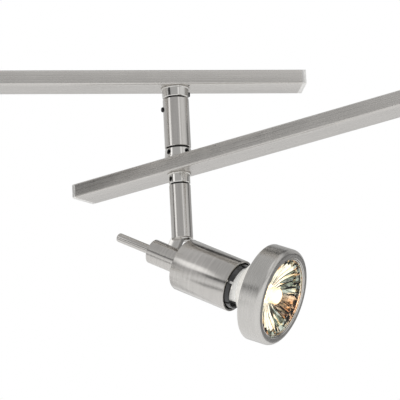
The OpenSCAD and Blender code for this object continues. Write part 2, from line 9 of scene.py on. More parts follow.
import json
import logging
import math
from contextlib import contextmanager
from dataclasses import dataclass
from enum import Enum
from itertools import pairwise
from typing import Callable, Iterator, Sequence

import bmesh
import bpy
from mathutils import Matrix, Vector


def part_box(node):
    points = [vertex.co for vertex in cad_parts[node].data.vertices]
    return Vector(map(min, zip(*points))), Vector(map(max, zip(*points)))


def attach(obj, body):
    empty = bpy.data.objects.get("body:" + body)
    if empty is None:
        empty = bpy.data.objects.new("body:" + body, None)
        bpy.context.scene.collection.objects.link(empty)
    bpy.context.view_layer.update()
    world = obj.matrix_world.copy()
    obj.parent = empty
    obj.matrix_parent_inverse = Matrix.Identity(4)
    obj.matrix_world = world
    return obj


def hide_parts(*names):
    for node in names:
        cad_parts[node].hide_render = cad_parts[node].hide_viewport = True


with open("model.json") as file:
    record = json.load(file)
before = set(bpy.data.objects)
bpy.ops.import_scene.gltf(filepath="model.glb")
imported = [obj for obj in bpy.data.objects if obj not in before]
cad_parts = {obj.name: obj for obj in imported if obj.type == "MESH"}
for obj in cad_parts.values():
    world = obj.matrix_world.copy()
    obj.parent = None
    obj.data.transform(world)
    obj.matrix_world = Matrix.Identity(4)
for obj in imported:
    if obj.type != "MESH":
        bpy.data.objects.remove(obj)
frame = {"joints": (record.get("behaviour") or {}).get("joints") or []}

LOG = logging.getLogger("fixture")
MM = 0.001
MERGE = 0.001 * MM
HAIR = 0.01 * MM
SCREW_AIR = 0.1
OWN_FRAME = "own_frame"
Outline = Sequence[tuple[float, float]]
Piece = bpy.types.Object
Socket = bpy.types.NodeSocket
Test = Callable[[Vector, Vector], bool]
Colour = tuple[float, float, float]


# ---- Node trees ----


class Board:
    """A node tree with short ways to add and join its nodes."""

    def __init__(self, tree: bpy.types.NodeTree) -> None:
        """Keeps the tree.

        Args:
            tree: The node tree to work on.
        """
        self.tree = tree

    def add(self, kind: str, inputs: dict | None = None, **settings: object) -> bpy.types.Node:
        """Adds a node.

        Args:
            kind: The node's type, without its "ShaderNode" start.
            inputs: What each named or numbered input gets: a socket to join, or a value.
            settings: The node's own settings.

        Returns:
            The new node.
        """
        node = self.tree.nodes.new("ShaderNode" + kind)
        for key, value in settings.items():
            setattr(node, key, value)
        for key, value in (inputs or {}).items():
            if isinstance(value, Socket):
                self.tree.links.new(value, node.inputs[key])
            else:
                node.inputs[key].default_value = value
        return node

    def math(self, operation: str, *values: object, clamp: bool = False) -> Socket:
        """Adds a Math node and returns its output."""
        inputs = dict(enumerate(values))
        return self.add("Math", inputs, operation=operation, use_clamp=clamp).outputs[0]

    def vector(self, operation: str, *values: object) -> Socket:
        """Adds a Vector Math node and returns its vector output."""
        return self.add("VectorMath", dict(enumerate(values)), operation=operation).outputs["Vector"]

    def noise(self, place: object, scale: object, detail: float, **others: float) -> Socket:
        """Adds a Noise Texture node and returns its value."""
        return self.add("TexNoise", {"Vector": place, "Scale": scale, "Detail": detail, **others}).outputs[0]

    def span(self, value: object, low: float, high: float, to_low: float = 0.0, to_high: float = 1.0,
             smooth: bool = False) -> Socket:
        """Maps a value from one span to another and returns the output.

        Args:
            value: The socket to map.
            low: The value that gives to_low.
            high: The value that gives to_high.
            to_low: Result at low.
            to_high: Result at high.
            smooth: Whether the change eases in and out.

        Returns:
            The mapped value's socket.
        """
        inputs = {"Value": value, "From Min": low, "From Max": high, "To Min": to_low, "To Max": to_high}
        kind = "SMOOTHSTEP" if smooth else "LINEAR"
        return self.add("MapRange", inputs, interpolation_type=kind).outputs["Result"]

    def ramp(self, value: object, stops: Sequence[tuple[float, Colour]]) -> Socket:
        """Adds a Color Ramp.

        Args:
            value: The socket that picks the colour.
            stops: Each stop's place and colour.

        Returns:
            The colour output.
        """
        node = self.add("ValToRGB", {"Fac": value})
        elements = node.color_ramp.elements
        while len(elements) < len(stops):
            elements.new(0.5)
        for element, (place, colour) in zip(elements, stops):
            element.position = place
            element.color = (*colour, 1.0)
        return node.outputs["Color"]

    def mix(self, factor: object, first: object, second: object) -> Socket:
        """Mixes two colours and returns the output. Sockets 0, 6 and 7 are its factor and colours."""
        first, second = ((*c, 1.0) if isinstance(c, tuple) else c for c in (first, second))
        return self.add("Mix", {0: factor, 6: first, 7: second}, data_type="RGBA").outputs[2]

    def feed(self, node: bpy.types.Node, **values: object) -> bpy.types.Node:
        """Joins or sets a node's inputs, given by name with _ for a space, and returns the node."""
        for key, value in values.items():
            socket = node.inputs[key.replace("_", " ")]
            if isinstance(value, Socket):
                self.tree.links.new(value, socket)
            else:
                socket.default_value = value
        return node

    def group(self, tree: bpy.types.NodeTree, **values: object) -> bpy.types.Node:
        """Places a node group with its own values, given by input name with _ for a space."""
        return self.feed(self.add("Group", node_tree=tree), **values)


def new_group(
    name: str, inputs: Sequence[tuple[str, str, object]], outputs: Sequence[str]
) -> tuple[Board, dict[str, Socket], bpy.types.Node]:
    """Starts a shader node group.

    Args:
        name: The group's name.
        inputs: Each input's name, kind (Float, Vector or Color) and first value.
        outputs: Names of the outputs, which are all values.

    Returns:
        The group's board, its inputs by name, and its output node.
    """
    tree = bpy.data.node_groups.new(name, "ShaderNodeTree")
    for label, kind, value in inputs:
        socket = tree.interface.new_socket(label, in_out="INPUT", socket_type="NodeSocket" + kind)
        socket.default_value = value
    for label in outputs:
        tree.interface.new_socket(label, in_out="OUTPUT", socket_type="NodeSocketFloat")
    start = tree.nodes.new("NodeGroupInput")
    end = tree.nodes.new("NodeGroupOutput")
    return Board(tree), {label: start.outputs[label] for label, _, _ in inputs}, end


PLACE_INPUT = ("Vector", "Vector", (0.0, 0.0, 0.0))
COARSE_SCALE = 0.31
FINE_SHARE = 0.65
OUTWARD_PACE = 1.7


def brushed_grain() -> bpy.types.NodeTree:
    """Makes the group for brushed metal: fine lines along one way, broken up, with broad cloudy patches.

    Returns:
        The node group, with outputs Lines and Patches from 0 to 1.
    """
    board, given, end = new_group(
        "Brushed Grain",
        [PLACE_INPUT, ("Stretch", "Vector", (1.0, 1.0, 1.0)), ("Patch Scale", "Float", 60.0)],
        ["Lines", "Patches"])
    stretched = board.vector("MULTIPLY", given["Vector"], given["Stretch"])
    lines = board.noise(stretched, 1.0, 3.0, Roughness=0.62)
    coarse = board.vector("MULTIPLY", stretched, (COARSE_SCALE, COARSE_SCALE, COARSE_SCALE))
    bands = board.noise(coarse, 1.0, 1.0)
    both = board.math("ADD", board.math("MULTIPLY", lines, FINE_SHARE),
                      board.math("MULTIPLY", bands, 1 - FINE_SHARE))
    patch = board.noise(given["Vector"], given["Patch Scale"], 2.0)
    board.tree.links.new(board.span(both, 0.3, 0.7), end.inputs["Lines"])
    board.tree.links.new(board.span(patch, 0.3, 0.7), end.inputs["Patches"])
    return board.tree


def turned_way() -> bpy.types.NodeTree:
    """Makes the group that turns a piece's own place into one that varies fast along Z and outwards.

    Returns:
        The node group, with outputs X, Y and Across, where Across grows along the axis and away from it.
    """
    board, given, end = new_group("Turned Way", [PLACE_INPUT], ["X", "Y", "Across"])
    parts = board.add("SeparateXYZ", {0: given["Vector"]}).outputs
    squares = board.math("ADD", board.math("POWER", board.math("ABSOLUTE", parts[0]), 2.0),
                         board.math("POWER", board.math("ABSOLUTE", parts[1]), 2.0))
    radius = board.math("SQRT", squares)
    across = board.math("ADD", parts[2], board.math("MULTIPLY", radius, OUTWARD_PACE))
    for label, socket in (("X", parts[0]), ("Y", parts[1]), ("Across", across)):
        board.tree.links.new(socket, end.inputs[label])
    return board.tree


def edge_wear_and_shading() -> bpy.types.NodeTree:
    """Makes the group that finds edges, where handling rubs a finish bright, and where painted highlights and
    painted shade go along edges.

    Returns:
        The node group, with output Wear from 0 to 1.
    """
    board, given, end = new_group(
        "Edge Wear",
        [PLACE_INPUT, ("Reach", "Float", 0.0004), ("Breakup Scale", "Float", 900.0)],
        ["Wear"])
    rounded = board.add("Bevel", {"Radius": given["Reach"]}, samples=4).outputs[0]
    flat = board.add("NewGeometry").outputs["Normal"]
    turn = board.add("VectorMath", {0: rounded, 1: flat}, operation="DOT_PRODUCT").outputs["Value"]
    edge = board.span(turn, 0.995, 0.86)
    breakup = board.noise(given["Vector"], given["Breakup Scale"], 2.0)
    wear_and_shading = board.math("MULTIPLY", edge, board.span(breakup, 0.35, 0.65, 0.35, 1.0))
    board.tree.links.new(wear_and_shading, end.inputs["Wear"])
    return board.tree


def dust_film() -> bpy.types.NodeTree:
    """Makes the group for a thin film of dust and finger marks.

    Returns:
        The node group, with output Film from 0 to 1.
    """
    board, given, end = new_group("Dust Film", [PLACE_INPUT, ("Size", "Float", 0.02)], ["Film"])
    scale = board.math("DIVIDE", 1.0, given["Size"])
    cloud = board.span(board.noise(given["Vector"], scale, 4.0, Distortion=0.6), 0.42, 0.72)
    speck = board.span(board.noise(given["Vector"], 2600.0, 1.0), 0.60, 0.70)
    film = board.math("ADD", board.math("MULTIPLY", cloud, 0.8), board.math("MULTIPLY", speck, 0.2),
                      clamp=True)
    board.tree.links.new(film, end.inputs["Film"])
    return board.tree


GRAIN, TURNED, WEAR_AND_SHADING, DUST = brushed_grain(), turned_way(), edge_wear_and_shading(), dust_film()


# ---- Finishes ----


class Brushing(Enum):
    """Which way a metal finish was brushed."""

    LENGTHWISE = "lengthwise"
    LENGTHWISE_UP = "lengthwise up"
    TURNED = "turned"
    NONE = "none"


def start_material(name: str) -> tuple[bpy.types.Material, Board, bpy.types.Node, Socket]:
    """Starts a material on a Principled shader.

    Args:
        name: The material's name.

    Returns:
        The material, its board, its shader and the socket with the piece's own place.
    """
    material = bpy.data.materials.new(name)
    material.use_nodes = True
    board = Board(material.node_tree)
    shader = next(n for n in material.node_tree.nodes if n.type == "BSDF_PRINCIPLED")
    own = board.add("Attribute", attribute_name=OWN_FRAME, attribute_type="GEOMETRY").outputs["Vector"]
    return material, board, shader, own


def shade(colour: Colour, factor: float, raised: float = 0.0) -> Colour:
    """Returns a colour times a factor, raised by a little, and never above white."""
    return tuple(min(1.0, c * factor + raised) for c in colour)


@dataclass(frozen=True)
class Finish:
    """A finish with a material of its own name."""

    name: str

    def material(self) -> bpy.types.Material:
        """Returns the finish's material, made when it is first asked for."""
        return bpy.data.materials.get(self.name) or self.make()

    def make(self) -> bpy.types.Material:
        """Makes the material, each kind of finish in its own way."""
        raise NotImplementedError


@dataclass(frozen=True)
class Metal(Finish):
    """A bare or plated metal, brushed or not."""

    colour: Colour
    roughness: float
    brushing: Brushing = Brushing.NONE
    line_contrast: float = 0.10
    line_width: float = 0.22
    line_length: float = 22.0
    bump: float = 0.10
    # Edge brightening: rubbed wear and, where it is strong and reaches wide, a painted highlight along rounded
    # edges.
    wear_and_highlight: float = 0.5
    wear_and_highlight_reach: float = 0.35

    def stretch(self) -> tuple[float, float, float]:
        """Returns how the grain's pattern is scaled along the piece's own X, Y and Z, per metre."""
        fine, long = 1 / (self.line_width * MM), 1 / (self.line_length * MM)
        if self.brushing is Brushing.LENGTHWISE:
            return long, fine, fine
        if self.brushing is Brushing.LENGTHWISE_UP:
            return fine, fine, long
        if self.brushing is Brushing.TURNED:
            return long, long, fine
        return fine * 0.5, fine * 0.5, fine * 0.5

    def make(self) -> bpy.types.Material:
        """Makes the metal's material."""
        material, board, shader, own = start_material(self.name)
        place = own
        if self.brushing is Brushing.TURNED:
            turned = board.group(TURNED, Vector=own)
            place = board.add("CombineXYZ", dict(enumerate(turned.outputs))).outputs[0]
        grain = board.group(GRAIN, Vector=place, Stretch=self.stretch(), Patch_Scale=70.0)
        lines, patches = grain.outputs["Lines"], grain.outputs["Patches"]
        wear_and_shading = board.group(WEAR_AND_SHADING, Vector=own, Reach=self.wear_and_highlight_reach * MM).outputs["Wear"]
        film = board.group(DUST, Vector=own, Size=18 * MM).outputs["Film"]
        tone = board.mix(lines, shade(self.colour, 1 - self.line_contrast),
                         shade(self.colour, 1 + self.line_contrast))
        tone = board.mix(board.math("MULTIPLY", patches, 0.22), tone, shade(self.colour, 0.90))
        # Edges brighten: rubbed wear, and on the bars a painted highlight along their rounded edges.
        tone = board.mix(board.math("MULTIPLY", wear_and_shading, self.wear_and_highlight), tone, shade(self.colour, 1.42, 0.02))
        rough = board.math("ADD", board.span(lines, 0.0, 1.0, self.roughness - 0.04, self.roughness + 0.05),
                           board.math("MULTIPLY", film, 0.05))
        rough = board.math("SUBTRACT", rough, board.math("MULTIPLY", wear_and_shading, 0.06), clamp=True)
        bump = board.add("Bump", {"Height": lines, "Strength": self.bump, "Distance": 0.02 * MM})
        board.feed(shader, Base_Color=tone, Roughness=rough, Normal=bump.outputs[0], Metallic=1.0)
        return material


@dataclass(frozen=True)
class Solid(Finish):
    """A ceramic, plastic, paint or oxide that isn't see-through."""

    colour: Colour
    roughness: float
    mottle: float = 0.15
    mottle_size: float = 0.6
    coat: float = 0.0
    metallic: float = 0.0
    bump: float = 0.15
    # An even glow: painted light, for parts that are no lamps but look lit by one.
    glow: float = 0.0

    def make(self) -> bpy.types.Material:
        """Makes the solid's material."""
        material, board, shader, own = start_material(self.name)
        mottle = board.noise(own, 1 / (self.mottle_size * MM), 3.0)
        wear_and_shading = board.group(WEAR_AND_SHADING, Vector=own, Reach=0.3 * MM).outputs["Wear"]
        film = board.group(DUST, Vector=own, Size=9 * MM).outputs["Film"]
        tone = board.mix(board.span(mottle, 0.35, 0.65), shade(self.colour, 1 - self.mottle),
                         shade(self.colour, 1 + self.mottle, 0.004))
        tone = board.mix(board.math("MULTIPLY", wear_and_shading, 0.45), tone, shade(self.colour, 1.25, 0.03))
        rough = board.math("ADD", board.span(mottle, 0.3, 0.7, self.roughness - 0.04, self.roughness + 0.04),
                           board.math("MULTIPLY", film, 0.08), clamp=True)
        bump = board.add("Bump", {"Height": mottle, "Strength": self.bump, "Distance": 0.03 * MM})
        board.feed(shader, Base_Color=tone, Roughness=rough, Normal=bump.outputs[0],
                   Metallic=self.metallic, Coat_Weight=self.coat, Coat_Roughness=0.08)
        # Painted light: emission on a part that is no lamp.
        if self.glow > 0:
            board.feed(shader, Emission_Color=tone, Emission_Strength=self.glow)
        return material


@dataclass(frozen=True)
class Dichroic(Finish):
    """The coated glass of the reflector, which changes colour with the angle it is seen at."""

    name: str = "dichroic_coating"
    facing: Colour = (0.92, 0.95, 0.90)
    slanting: Colour = (0.70, 0.77, 0.69)
    grazing: Colour = (0.66, 0.58, 0.46)
    # A painted warm reflection for one side of the bowl, and the colour of its painted dark streaks and ridge
    # shade.
    warm_reflection: Colour = (0.80, 0.44, 0.24)
    shade: Colour = (0.030, 0.034, 0.032)

    def make(self) -> bpy.types.Material:
        """Makes the coating's material."""
        material, board, shader, own = start_material(self.name)
        slant = board.add("LayerWeight", {"Blend": 0.45}).outputs["Facing"]
        cloud = board.noise(own, 160.0, 2.0)
        shifted = board.math("ADD", slant, board.span(cloud, 0.3, 0.7, -0.10, 0.10), clamp=True)
        tone = board.ramp(shifted, [(0.0, self.facing), (0.45, self.slanting), (0.85, self.grazing),
                                    (1.0, self.facing)])
        parts = board.add("SeparateXYZ", {0: own}).outputs
        turns = board.math("ARCTAN2", parts[1], parts[0])
        along = board.add("CombineXYZ", {0: board.math("MULTIPLY", turns, 13.0),
                                         1: board.math("MULTIPLY", parts[2], 60.0)})
        # Painted reflection: thin dark streaks along the facets.
        reflected_streak = board.noise(along.outputs[0], 1.0, 1.0)
        # Painted reflection: one side of the bowl, fixed in its own frame, is tinted warm orange.
        side = board.math("COSINE", board.math("SUBTRACT", turns, 1.45))
        tone = board.mix(board.span(side, 0.88, 0.98, 0.0, 0.85), tone, self.warm_reflection)
        # Painted shade: the facet ridges are darkened, together with the painted streaks.
        ridge_shade = board.group(WEAR_AND_SHADING, Vector=own, Reach=0.5 * MM).outputs["Wear"]
        reflection_and_shade = board.math("ADD", board.span(reflected_streak, 0.60, 0.63), board.math("MULTIPLY", ridge_shade, 0.12),
                          clamp=True)
        tone = board.mix(reflection_and_shade, tone, self.shade)
        film = board.group(DUST, Vector=own, Size=6 * MM).outputs["Film"]
        rough = board.span(film, 0.0, 1.0, 0.03, 0.10)
        bump = board.add("Bump", {"Height": cloud, "Strength": 0.2, "Distance": 0.08 * MM})
        board.feed(shader, Base_Color=tone, Roughness=rough, Normal=bump.outputs[0], Metallic=1.0)
        return material


@dataclass(frozen=True)
class LitQuartz(Finish):
    """The capsule's quartz, bright all over with a warmer edge."""

    name: str = "quartz_glowing"
    core: Colour = (1.0, 0.90, 0.84)
    rim: Colour = (1.0, 0.60, 0.22)
    strength: float = 1.5

    def make(self) -> bpy.types.Material:
        """Makes the capsule's material."""
        material, board, shader, own = start_material(self.name)
        slant = board.add("LayerWeight", {"Blend": 0.4}).outputs["Facing"]
        waver = board.span(board.noise(own, 420.0, 2.0), 0.3, 0.7, -0.12, 0.12)
        place = board.math("ADD", slant, waver, clamp=True)
        glow = board.ramp(place, [(0.0, self.core), (0.35, (1.0, 0.80, 0.62)), (0.8, self.rim)])
        board.feed(shader, Base_Color=board.mix(0.5, glow, (1.0, 1.0, 1.0)), Roughness=0.08,
                   Emission_Color=glow, Emission_Strength=self.strength)
        return material


@dataclass(frozen=True)
class ClearGlass(Finish):
    """The lamp's front glass."""

    name: str = "front_glass_clear"
    tint: Colour = (0.985, 1.0, 0.992)

    def make(self) -> bpy.types.Material:
        """Makes the glass's material."""
        material, board, shader, own = start_material(self.name)
        film = board.group(DUST, Vector=own, Size=8 * MM).outputs["Film"]
        board.feed(shader, Base_Color=board.mix(film, self.tint, (0.96, 0.98, 0.97)),
                   Roughness=board.span(film, 0.0, 1.0, 0.0, 0.03), Transmission_Weight=1.0, IOR=1.47,
                   Specular_IOR_Level=0.15)
        return material


NICKEL: Colour = (0.63, 0.61, 0.585)
# On the bars the edge brightening is strong and wide: a painted highlight along their rounded edges, besides
# wear.
SATIN_LENGTHWISE = Metal("satin_nickel_lengthwise", NICKEL, 0.25, Brushing.LENGTHWISE, 0.13, 0.17, 45.0,
                         wear_and_highlight=0.9, wear_and_highlight_reach=1.3)
SATIN_TURNED = Metal("satin_nickel_turned", NICKEL, 0.18, Brushing.TURNED, 0.17, 0.20, 9.0, 0.16)
SATIN_SPUN = Metal("satin_nickel_spun", (0.66, 0.645, 0.62), 0.25, Brushing.TURNED, 0.12, 0.16, 14.0,
                   0.08)
SATIN_DRAWN = Metal("satin_nickel_drawn", NICKEL, 0.14, Brushing.LENGTHWISE_UP, 0.12, 0.2, 20.0, 0.08)
POLISHED = Metal("polished_nickel_turned", (0.70, 0.685, 0.66), 0.08, Brushing.TURNED, 0.04, 0.10, 12.0,
                 0.04)
PALE_CAP = Metal("pale_cap_metal", (0.90, 0.89, 0.87), 0.34, Brushing.LENGTHWISE, 0.03, 0.2, 20.0, 0.05)
ZINC = Metal("zinc_plate_crystals", (0.60, 0.61, 0.62), 0.36, Brushing.NONE, 0.16, 1.4, 1.4, 0.10)
BLACK_OXIDE = Solid("black_oxide_steel", (0.022, 0.022, 0.024), 0.32, 0.3, 0.5, metallic=0.6)
# Black for bores, and painted shade on the spigot in each post's groove.
BLACK_BORE_AND_SHADE = Solid("black_bore_and_shade", (0.018, 0.018, 0.018), 0.45, 0.3, 0.8)
BLACK_CERAMIC = Solid("black_ceramic_glaze", (0.010, 0.010, 0.011), 0.18, 0.3, 0.7, coat=0.8)
# Painted light: the ceramic base glows faintly, to look as bright as if the lamp lit it.
WHITE_CERAMIC = Solid("white_ceramic", (0.88, 0.87, 0.84), 0.42, 0.05, 0.35, glow=0.35)
NYLON = Solid("orange_nylon_moulded", (0.80, 0.27, 0.035), 0.44, 0.10, 0.9)
SHEATH_BLACK = Solid("lead_sheath_black", (0.02, 0.02, 0.02), 0.42, 0.2, 1.2)
SHEATH_WHITE = Solid("lead_sheath_white", (0.84, 0.84, 0.80), 0.42, 0.05, 1.2)
SHEATH_GREEN = Solid("lead_sheath_green", (0.04, 0.30, 0.08), 0.42, 0.15, 1.2)
# Painted light: the reflector's back glows, standing in for the lamp's light shining through it.
GLASS_BACK = Solid("lit_glass_back", (0.90, 0.88, 0.83), 0.22, 0.06, 2.5, coat=0.5, glow=0.30)
DICHROIC, QUARTZ, GLASS = Dichroic(), LitQuartz(), ClearGlass()


# ---- Modelling ----


def clear_selection() -> None:
    """Leaves edit mode and deselects everything."""
    if bpy.context.object and bpy.context.object.mode != "OBJECT":
        bpy.ops.object.mode_set(mode="OBJECT")
    bpy.ops.object.select_all(action="DESELECT")


def only(piece: Piece) -> None:
    """Makes a piece the one that is selected and active."""
    clear_selection()
    piece.select_set(True)
    bpy.context.view_layer.objects.active = piece


@contextmanager
def editing(piece: Piece) -> Iterator[None]:
    """Opens a piece in edit mode, and closes it again."""
    only(piece)
    bpy.ops.object.mode_set(mode="EDIT")
    yield
    bpy.ops.object.mode_set(mode="OBJECT")


def face_outwards(merge: bool = False) -> None:
    """Turns all faces outwards, in edit mode, after merging points that meet if asked."""
    bpy.ops.mesh.select_all(action="SELECT")
    if merge:
        bpy.ops.mesh.remove_doubles(threshold=MERGE)
    bpy.ops.mesh.normals_make_consistent(inside=False)


def only_boundary(piece: Piece) -> None:
    """Keeps, of the selected edges, those with a face on one side only."""
    shape = bmesh.from_edit_mesh(piece.data)
    for edge in shape.edges:
        edge.select_set(edge.select and edge.is_boundary)
    bmesh.update_edit_mesh(piece.data)


def pick(kind: str, test: Test) -> None:
    """Selects, in edit mode, just the faces, edges or points that pass a test.

    Args:
        kind: FACE, EDGE or VERT.
        test: Gets the element's middle and its normal or, for an edge, its direction.
    """
    bpy.ops.mesh.select_mode(type=kind)
    bpy.ops.mesh.select_all(action="DESELECT")
    mesh = bpy.context.edit_object.data
    shape = bmesh.from_edit_mesh(mesh)
    if kind == "FACE":
        found = [f for f in shape.faces if test(f.calc_center_median(), f.normal)]
    elif kind == "EDGE":
        ends = [(e, e.verts[0].co, e.verts[1].co) for e in shape.edges]
        found = [e for e, a, b in ends if test((a + b) / 2, (b - a).normalized())]
    else:
        found = [v for v in shape.verts if test(v.co, v.normal)]
    for element in found:
        element.select_set(True)
    shape.select_flush_mode()
    bmesh.update_edit_mesh(mesh)


def apply_modifier(piece: Piece, kind: str, **settings: object) -> None:
    """Adds a modifier to a piece and applies it.

    Args:
        piece: The piece.
        kind: The modifier's type.
        settings: The modifier's settings.
    """
    only(piece)
    bpy.ops.object.modifier_add(type=kind)
    modifier = piece.modifiers[-1]
    for key, value in settings.items():
        setattr(modifier, key, value)
    bpy.ops.object.modifier_apply(modifier=modifier.name)


def soften(piece: Piece, width: float, segments: int = 2, angle: float = 40) -> Piece:
    """Rounds every sharp edge of a piece.

    Args:
        piece: The piece.
        width: Size of the rounding, in mm.
        segments: Steps across the rounding.
        angle: The least fold that counts as sharp, in degrees.

    Returns:
        The piece.
    """
    apply_modifier(piece, "BEVEL", width=width * MM, segments=segments, limit_method="ANGLE",
                   angle_limit=math.radians(angle))
    return piece


def cut(piece: Piece, cutter: Piece, operation: str = "DIFFERENCE") -> Piece:
    """Cuts one shape out of a piece, or joins it on, and removes the cutting shape.

    Args:
        piece: The piece that stays.
        cutter: The shape to take away or add.
        operation: DIFFERENCE or UNION.

    Returns:
        The piece.
    """
    apply_modifier(piece, "BOOLEAN", object=cutter, operation=operation, solver="EXACT")
    bpy.data.objects.remove(cutter)
    return piece


def flat_ring(name: str, radius: float, sides: int, fill: str = "NGON",
              upright: bool = False) -> Piece:
    """Adds a ring of points to extrude further.

    Args:
        name: The piece's name.
        radius: Its radius, in mm.
        sides: How many points it has.
        fill: NGON for a disc, NOTHING for bare edges.
        upright: Whether it faces Y, not Z.

    Returns:
        The new piece.
    """
    clear_selection()
    tipped = (math.radians(90) if upright else 0, 0, 0)
    bpy.ops.mesh.primitive_circle_add(vertices=sides, radius=radius * MM, fill_type=fill, rotation=tipped)
    piece = bpy.context.object
    piece.name = name
    bpy.ops.object.transform_apply(location=True, rotation=True, scale=True)
    return piece


def extrude(x: float, y: float, z: float) -> None:
    """Extrudes what is selected, in edit mode, by a move in mm."""
    bpy.ops.mesh.extrude_region_move(TRANSFORM_OT_translate={"value": (x * MM, y * MM, z * MM)})


def turn(name: str, outline: Outline, sides: int = 96) -> Piece:
    """Turns an outline about Z, ring by ring, as on a lathe.

    Args:
        name: The piece's name.
        outline: Points of radius and height, in mm. It closes on itself unless its ends are on the axis.
        sides: Steps round the axis.

    Returns:
        The new piece, with its faces outwards.
    """
    capped = outline[0][0] == 0
    rings = [p for p in outline if p[0] > 0]
    piece = flat_ring(name, rings[0][0], sides, "NOTHING")
    path = rings if capped else [*rings, rings[0]]
    with editing(piece):
        bpy.ops.mesh.select_mode(type="EDGE")
        bpy.ops.mesh.select_all(action="SELECT")
        bpy.ops.transform.translate(value=(0, 0, rings[0][1] * MM))
        for (r_from, z_from), (r_to, z_to) in pairwise(path):
            extrude(0, 0, z_to - z_from)
            share = r_to / r_from
            if share != 1:
                bpy.ops.transform.resize(value=(share, share, 1), center_override=(0, 0, z_to * MM))
        if capped:
            bpy.ops.mesh.edge_face_add()
            radius, height = rings[0][0] * MM, rings[0][1] * MM
            pick("EDGE", lambda at, way: at.z == height and abs(at.xy.length - radius) < radius * 0.01)
            only_boundary(piece)
            bpy.ops.mesh.edge_face_add()
        face_outwards(merge=True)
    return piece


def block(name: str, low: Sequence[float], high: Sequence[float]) -> Piece:
    """Adds a block to shape further.

    Args:
        name: The piece's name.
        low: Its lowest corner, in mm.
        high: Its highest corner, in mm.

    Returns:
        The new piece.
    """
    clear_selection()
    middle = [(a + b) / 2 * MM for a, b in zip(low, high)]
    size = [(b - a) * MM for a, b in zip(low, high)]
    bpy.ops.mesh.primitive_cube_add(size=1, location=middle, scale=size)
    piece = bpy.context.object
    piece.name = name
    bpy.ops.object.transform_apply(location=True, rotation=True, scale=True)
    return piece


def drill(radius: float, start: Vector, end: Vector, sides: int = 32) -> Piece:
    """Adds a round cutting shape between two points, in mm, and returns it."""
    clear_selection()
    way = end - start
    bpy.ops.mesh.primitive_cylinder_add(vertices=sides, radius=radius * MM, depth=way.length * MM)
    cutter = bpy.context.object
    aimed = way.to_track_quat("Z", "Y").to_matrix().to_4x4()
    cutter.data.transform(Matrix.Translation((start + end) / 2 * MM) @ aimed)
    return cutter


def arc(centre: tuple[float, float], radius: float, start: float, end: float,
        steps: int) -> list[tuple[float, float]]:
    """Returns the points of an arc between two angles in degrees, about a centre of radius and height."""
    angles = [math.radians(start + (end - start) * i / steps) for i in range(steps + 1)]
    return [(centre[0] + radius * math.cos(a), centre[1] + radius * math.sin(a)) for a in angles]


def own_frame(piece: Piece) -> None:
    """Writes each point's place in the piece's own frame to it, for its finish to follow."""
    layer = piece.data.attributes.new(OWN_FRAME, "FLOAT_VECTOR", "POINT")
    places = [c for v in piece.data.vertices for c in v.co]
    layer.data.foreach_set("vector", places)


def dress(piece: Piece, finish: Finish, angle: float = 35) -> Piece:
    """Gives a piece its first finish, smooth shading and its own frame.

    Args:
        piece: The piece, still in its own frame.
        finish: The finish all over it.
        angle: Folds under this many degrees are shaded smooth.

    Returns:
        The piece.
    """
    only(piece)
    piece.data.materials.clear()
    piece.data.materials.append(finish.material())
    bpy.ops.object.shade_smooth_by_angle(angle=math.radians(angle))
    if OWN_FRAME not in piece.data.attributes:
        own_frame(piece)
    return piece


def dress_part(piece: Piece, finish: Finish, test: Test) -> Piece:
    """Gives the faces that pass a test another finish.

    Args:
        piece: A piece that has its first finish.
        finish: The other finish.
        test: Gets a face's middle and normal, in metres.

    Returns:
        The piece.
    """
    piece.data.materials.append(finish.material())
    for face in piece.data.polygons:
        if test(face.center, face.normal):
            face.material_index = len(piece.data.materials) - 1
    return piece


def join(name: str, parts: Sequence[Piece]) -> Piece:
    """Joins parts that share one node into one piece, and returns it."""
    only(parts[0])
    for part in parts[1:]:
        part.select_set(True)
    if len(parts) > 1:
        bpy.ops.object.join()
    parts[0].name = name
    return parts[0]


def copy_at(model: Piece, name: str, place: Matrix) -> Piece:
    """Copies a finished model with a mesh of its own and sets the copy in place.

    Args:
        model: The piece that was modelled once.
        name: The copy's name.
        place: Where the model's own frame goes.

    Returns:
        The copy.
    """
    made = model.copy()
    made.data = model.data.copy()
    made.name = name
    made.data.name = name
    bpy.context.scene.collection.objects.link(made)
    made.data.transform(place)
    return made


def copies(model: Piece, name: str, places: Sequence[Matrix]) -> list[Piece]:
    """Copies a finished model to each place, and removes the model."""
    made = [copy_at(model, name, place) for place in places]
    bpy.data.objects.remove(model)
    return made


def hand_over(piece: Piece, body: str, slot: str, *nodes: str) -> None:
    """Rides a piece on its body, logs its slot, and lets it stand for its nodes.

    Args:
        piece: The finished piece, in place.
        body: The body it moves with.
        slot: The name of its material slot, which is only logged.
        nodes: The nodes it stands for, if any.
    """
    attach(piece, body)
    if nodes:
        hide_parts(*nodes)
    LOG.info("%s: %d faces on %s, %s", piece.name, len(piece.data.polygons), body, slot)


# ---- Places, all from the frame ----


def joint(name: str) -> dict:
    """Returns the frame's joint of that name."""
    return next(j for j in frame["joints"] if j["name"] == name)


def basis(origin: Vector, x_way: Vector, z_way: Vector) -> Matrix:
    """Returns the matrix of a frame with its origin and the ways of its +X and +Z."""
    z_way = z_way.normalized()
    y_way = z_way.cross(x_way).normalized()
    turned = Matrix((y_way.cross(z_way), y_way, z_way)).transposed()
    return Matrix.Translation(origin) @ turned.to_4x4()


UP = Vector((0, 0, 1))
FLIP = Matrix.Rotation(math.pi, 4, "X")


def about(axis: str, angle: float) -> Matrix:
    """Returns a turn about an axis, by an angle in degrees."""
    return Matrix.Rotation(math.radians(angle), 4, axis)


def move(x: float = 0.0, y: float = 0.0, z: float = 0.0) -> Matrix:
    """Returns a move in mm."""
    return Matrix.Translation((x * MM, y * MM, z * MM))


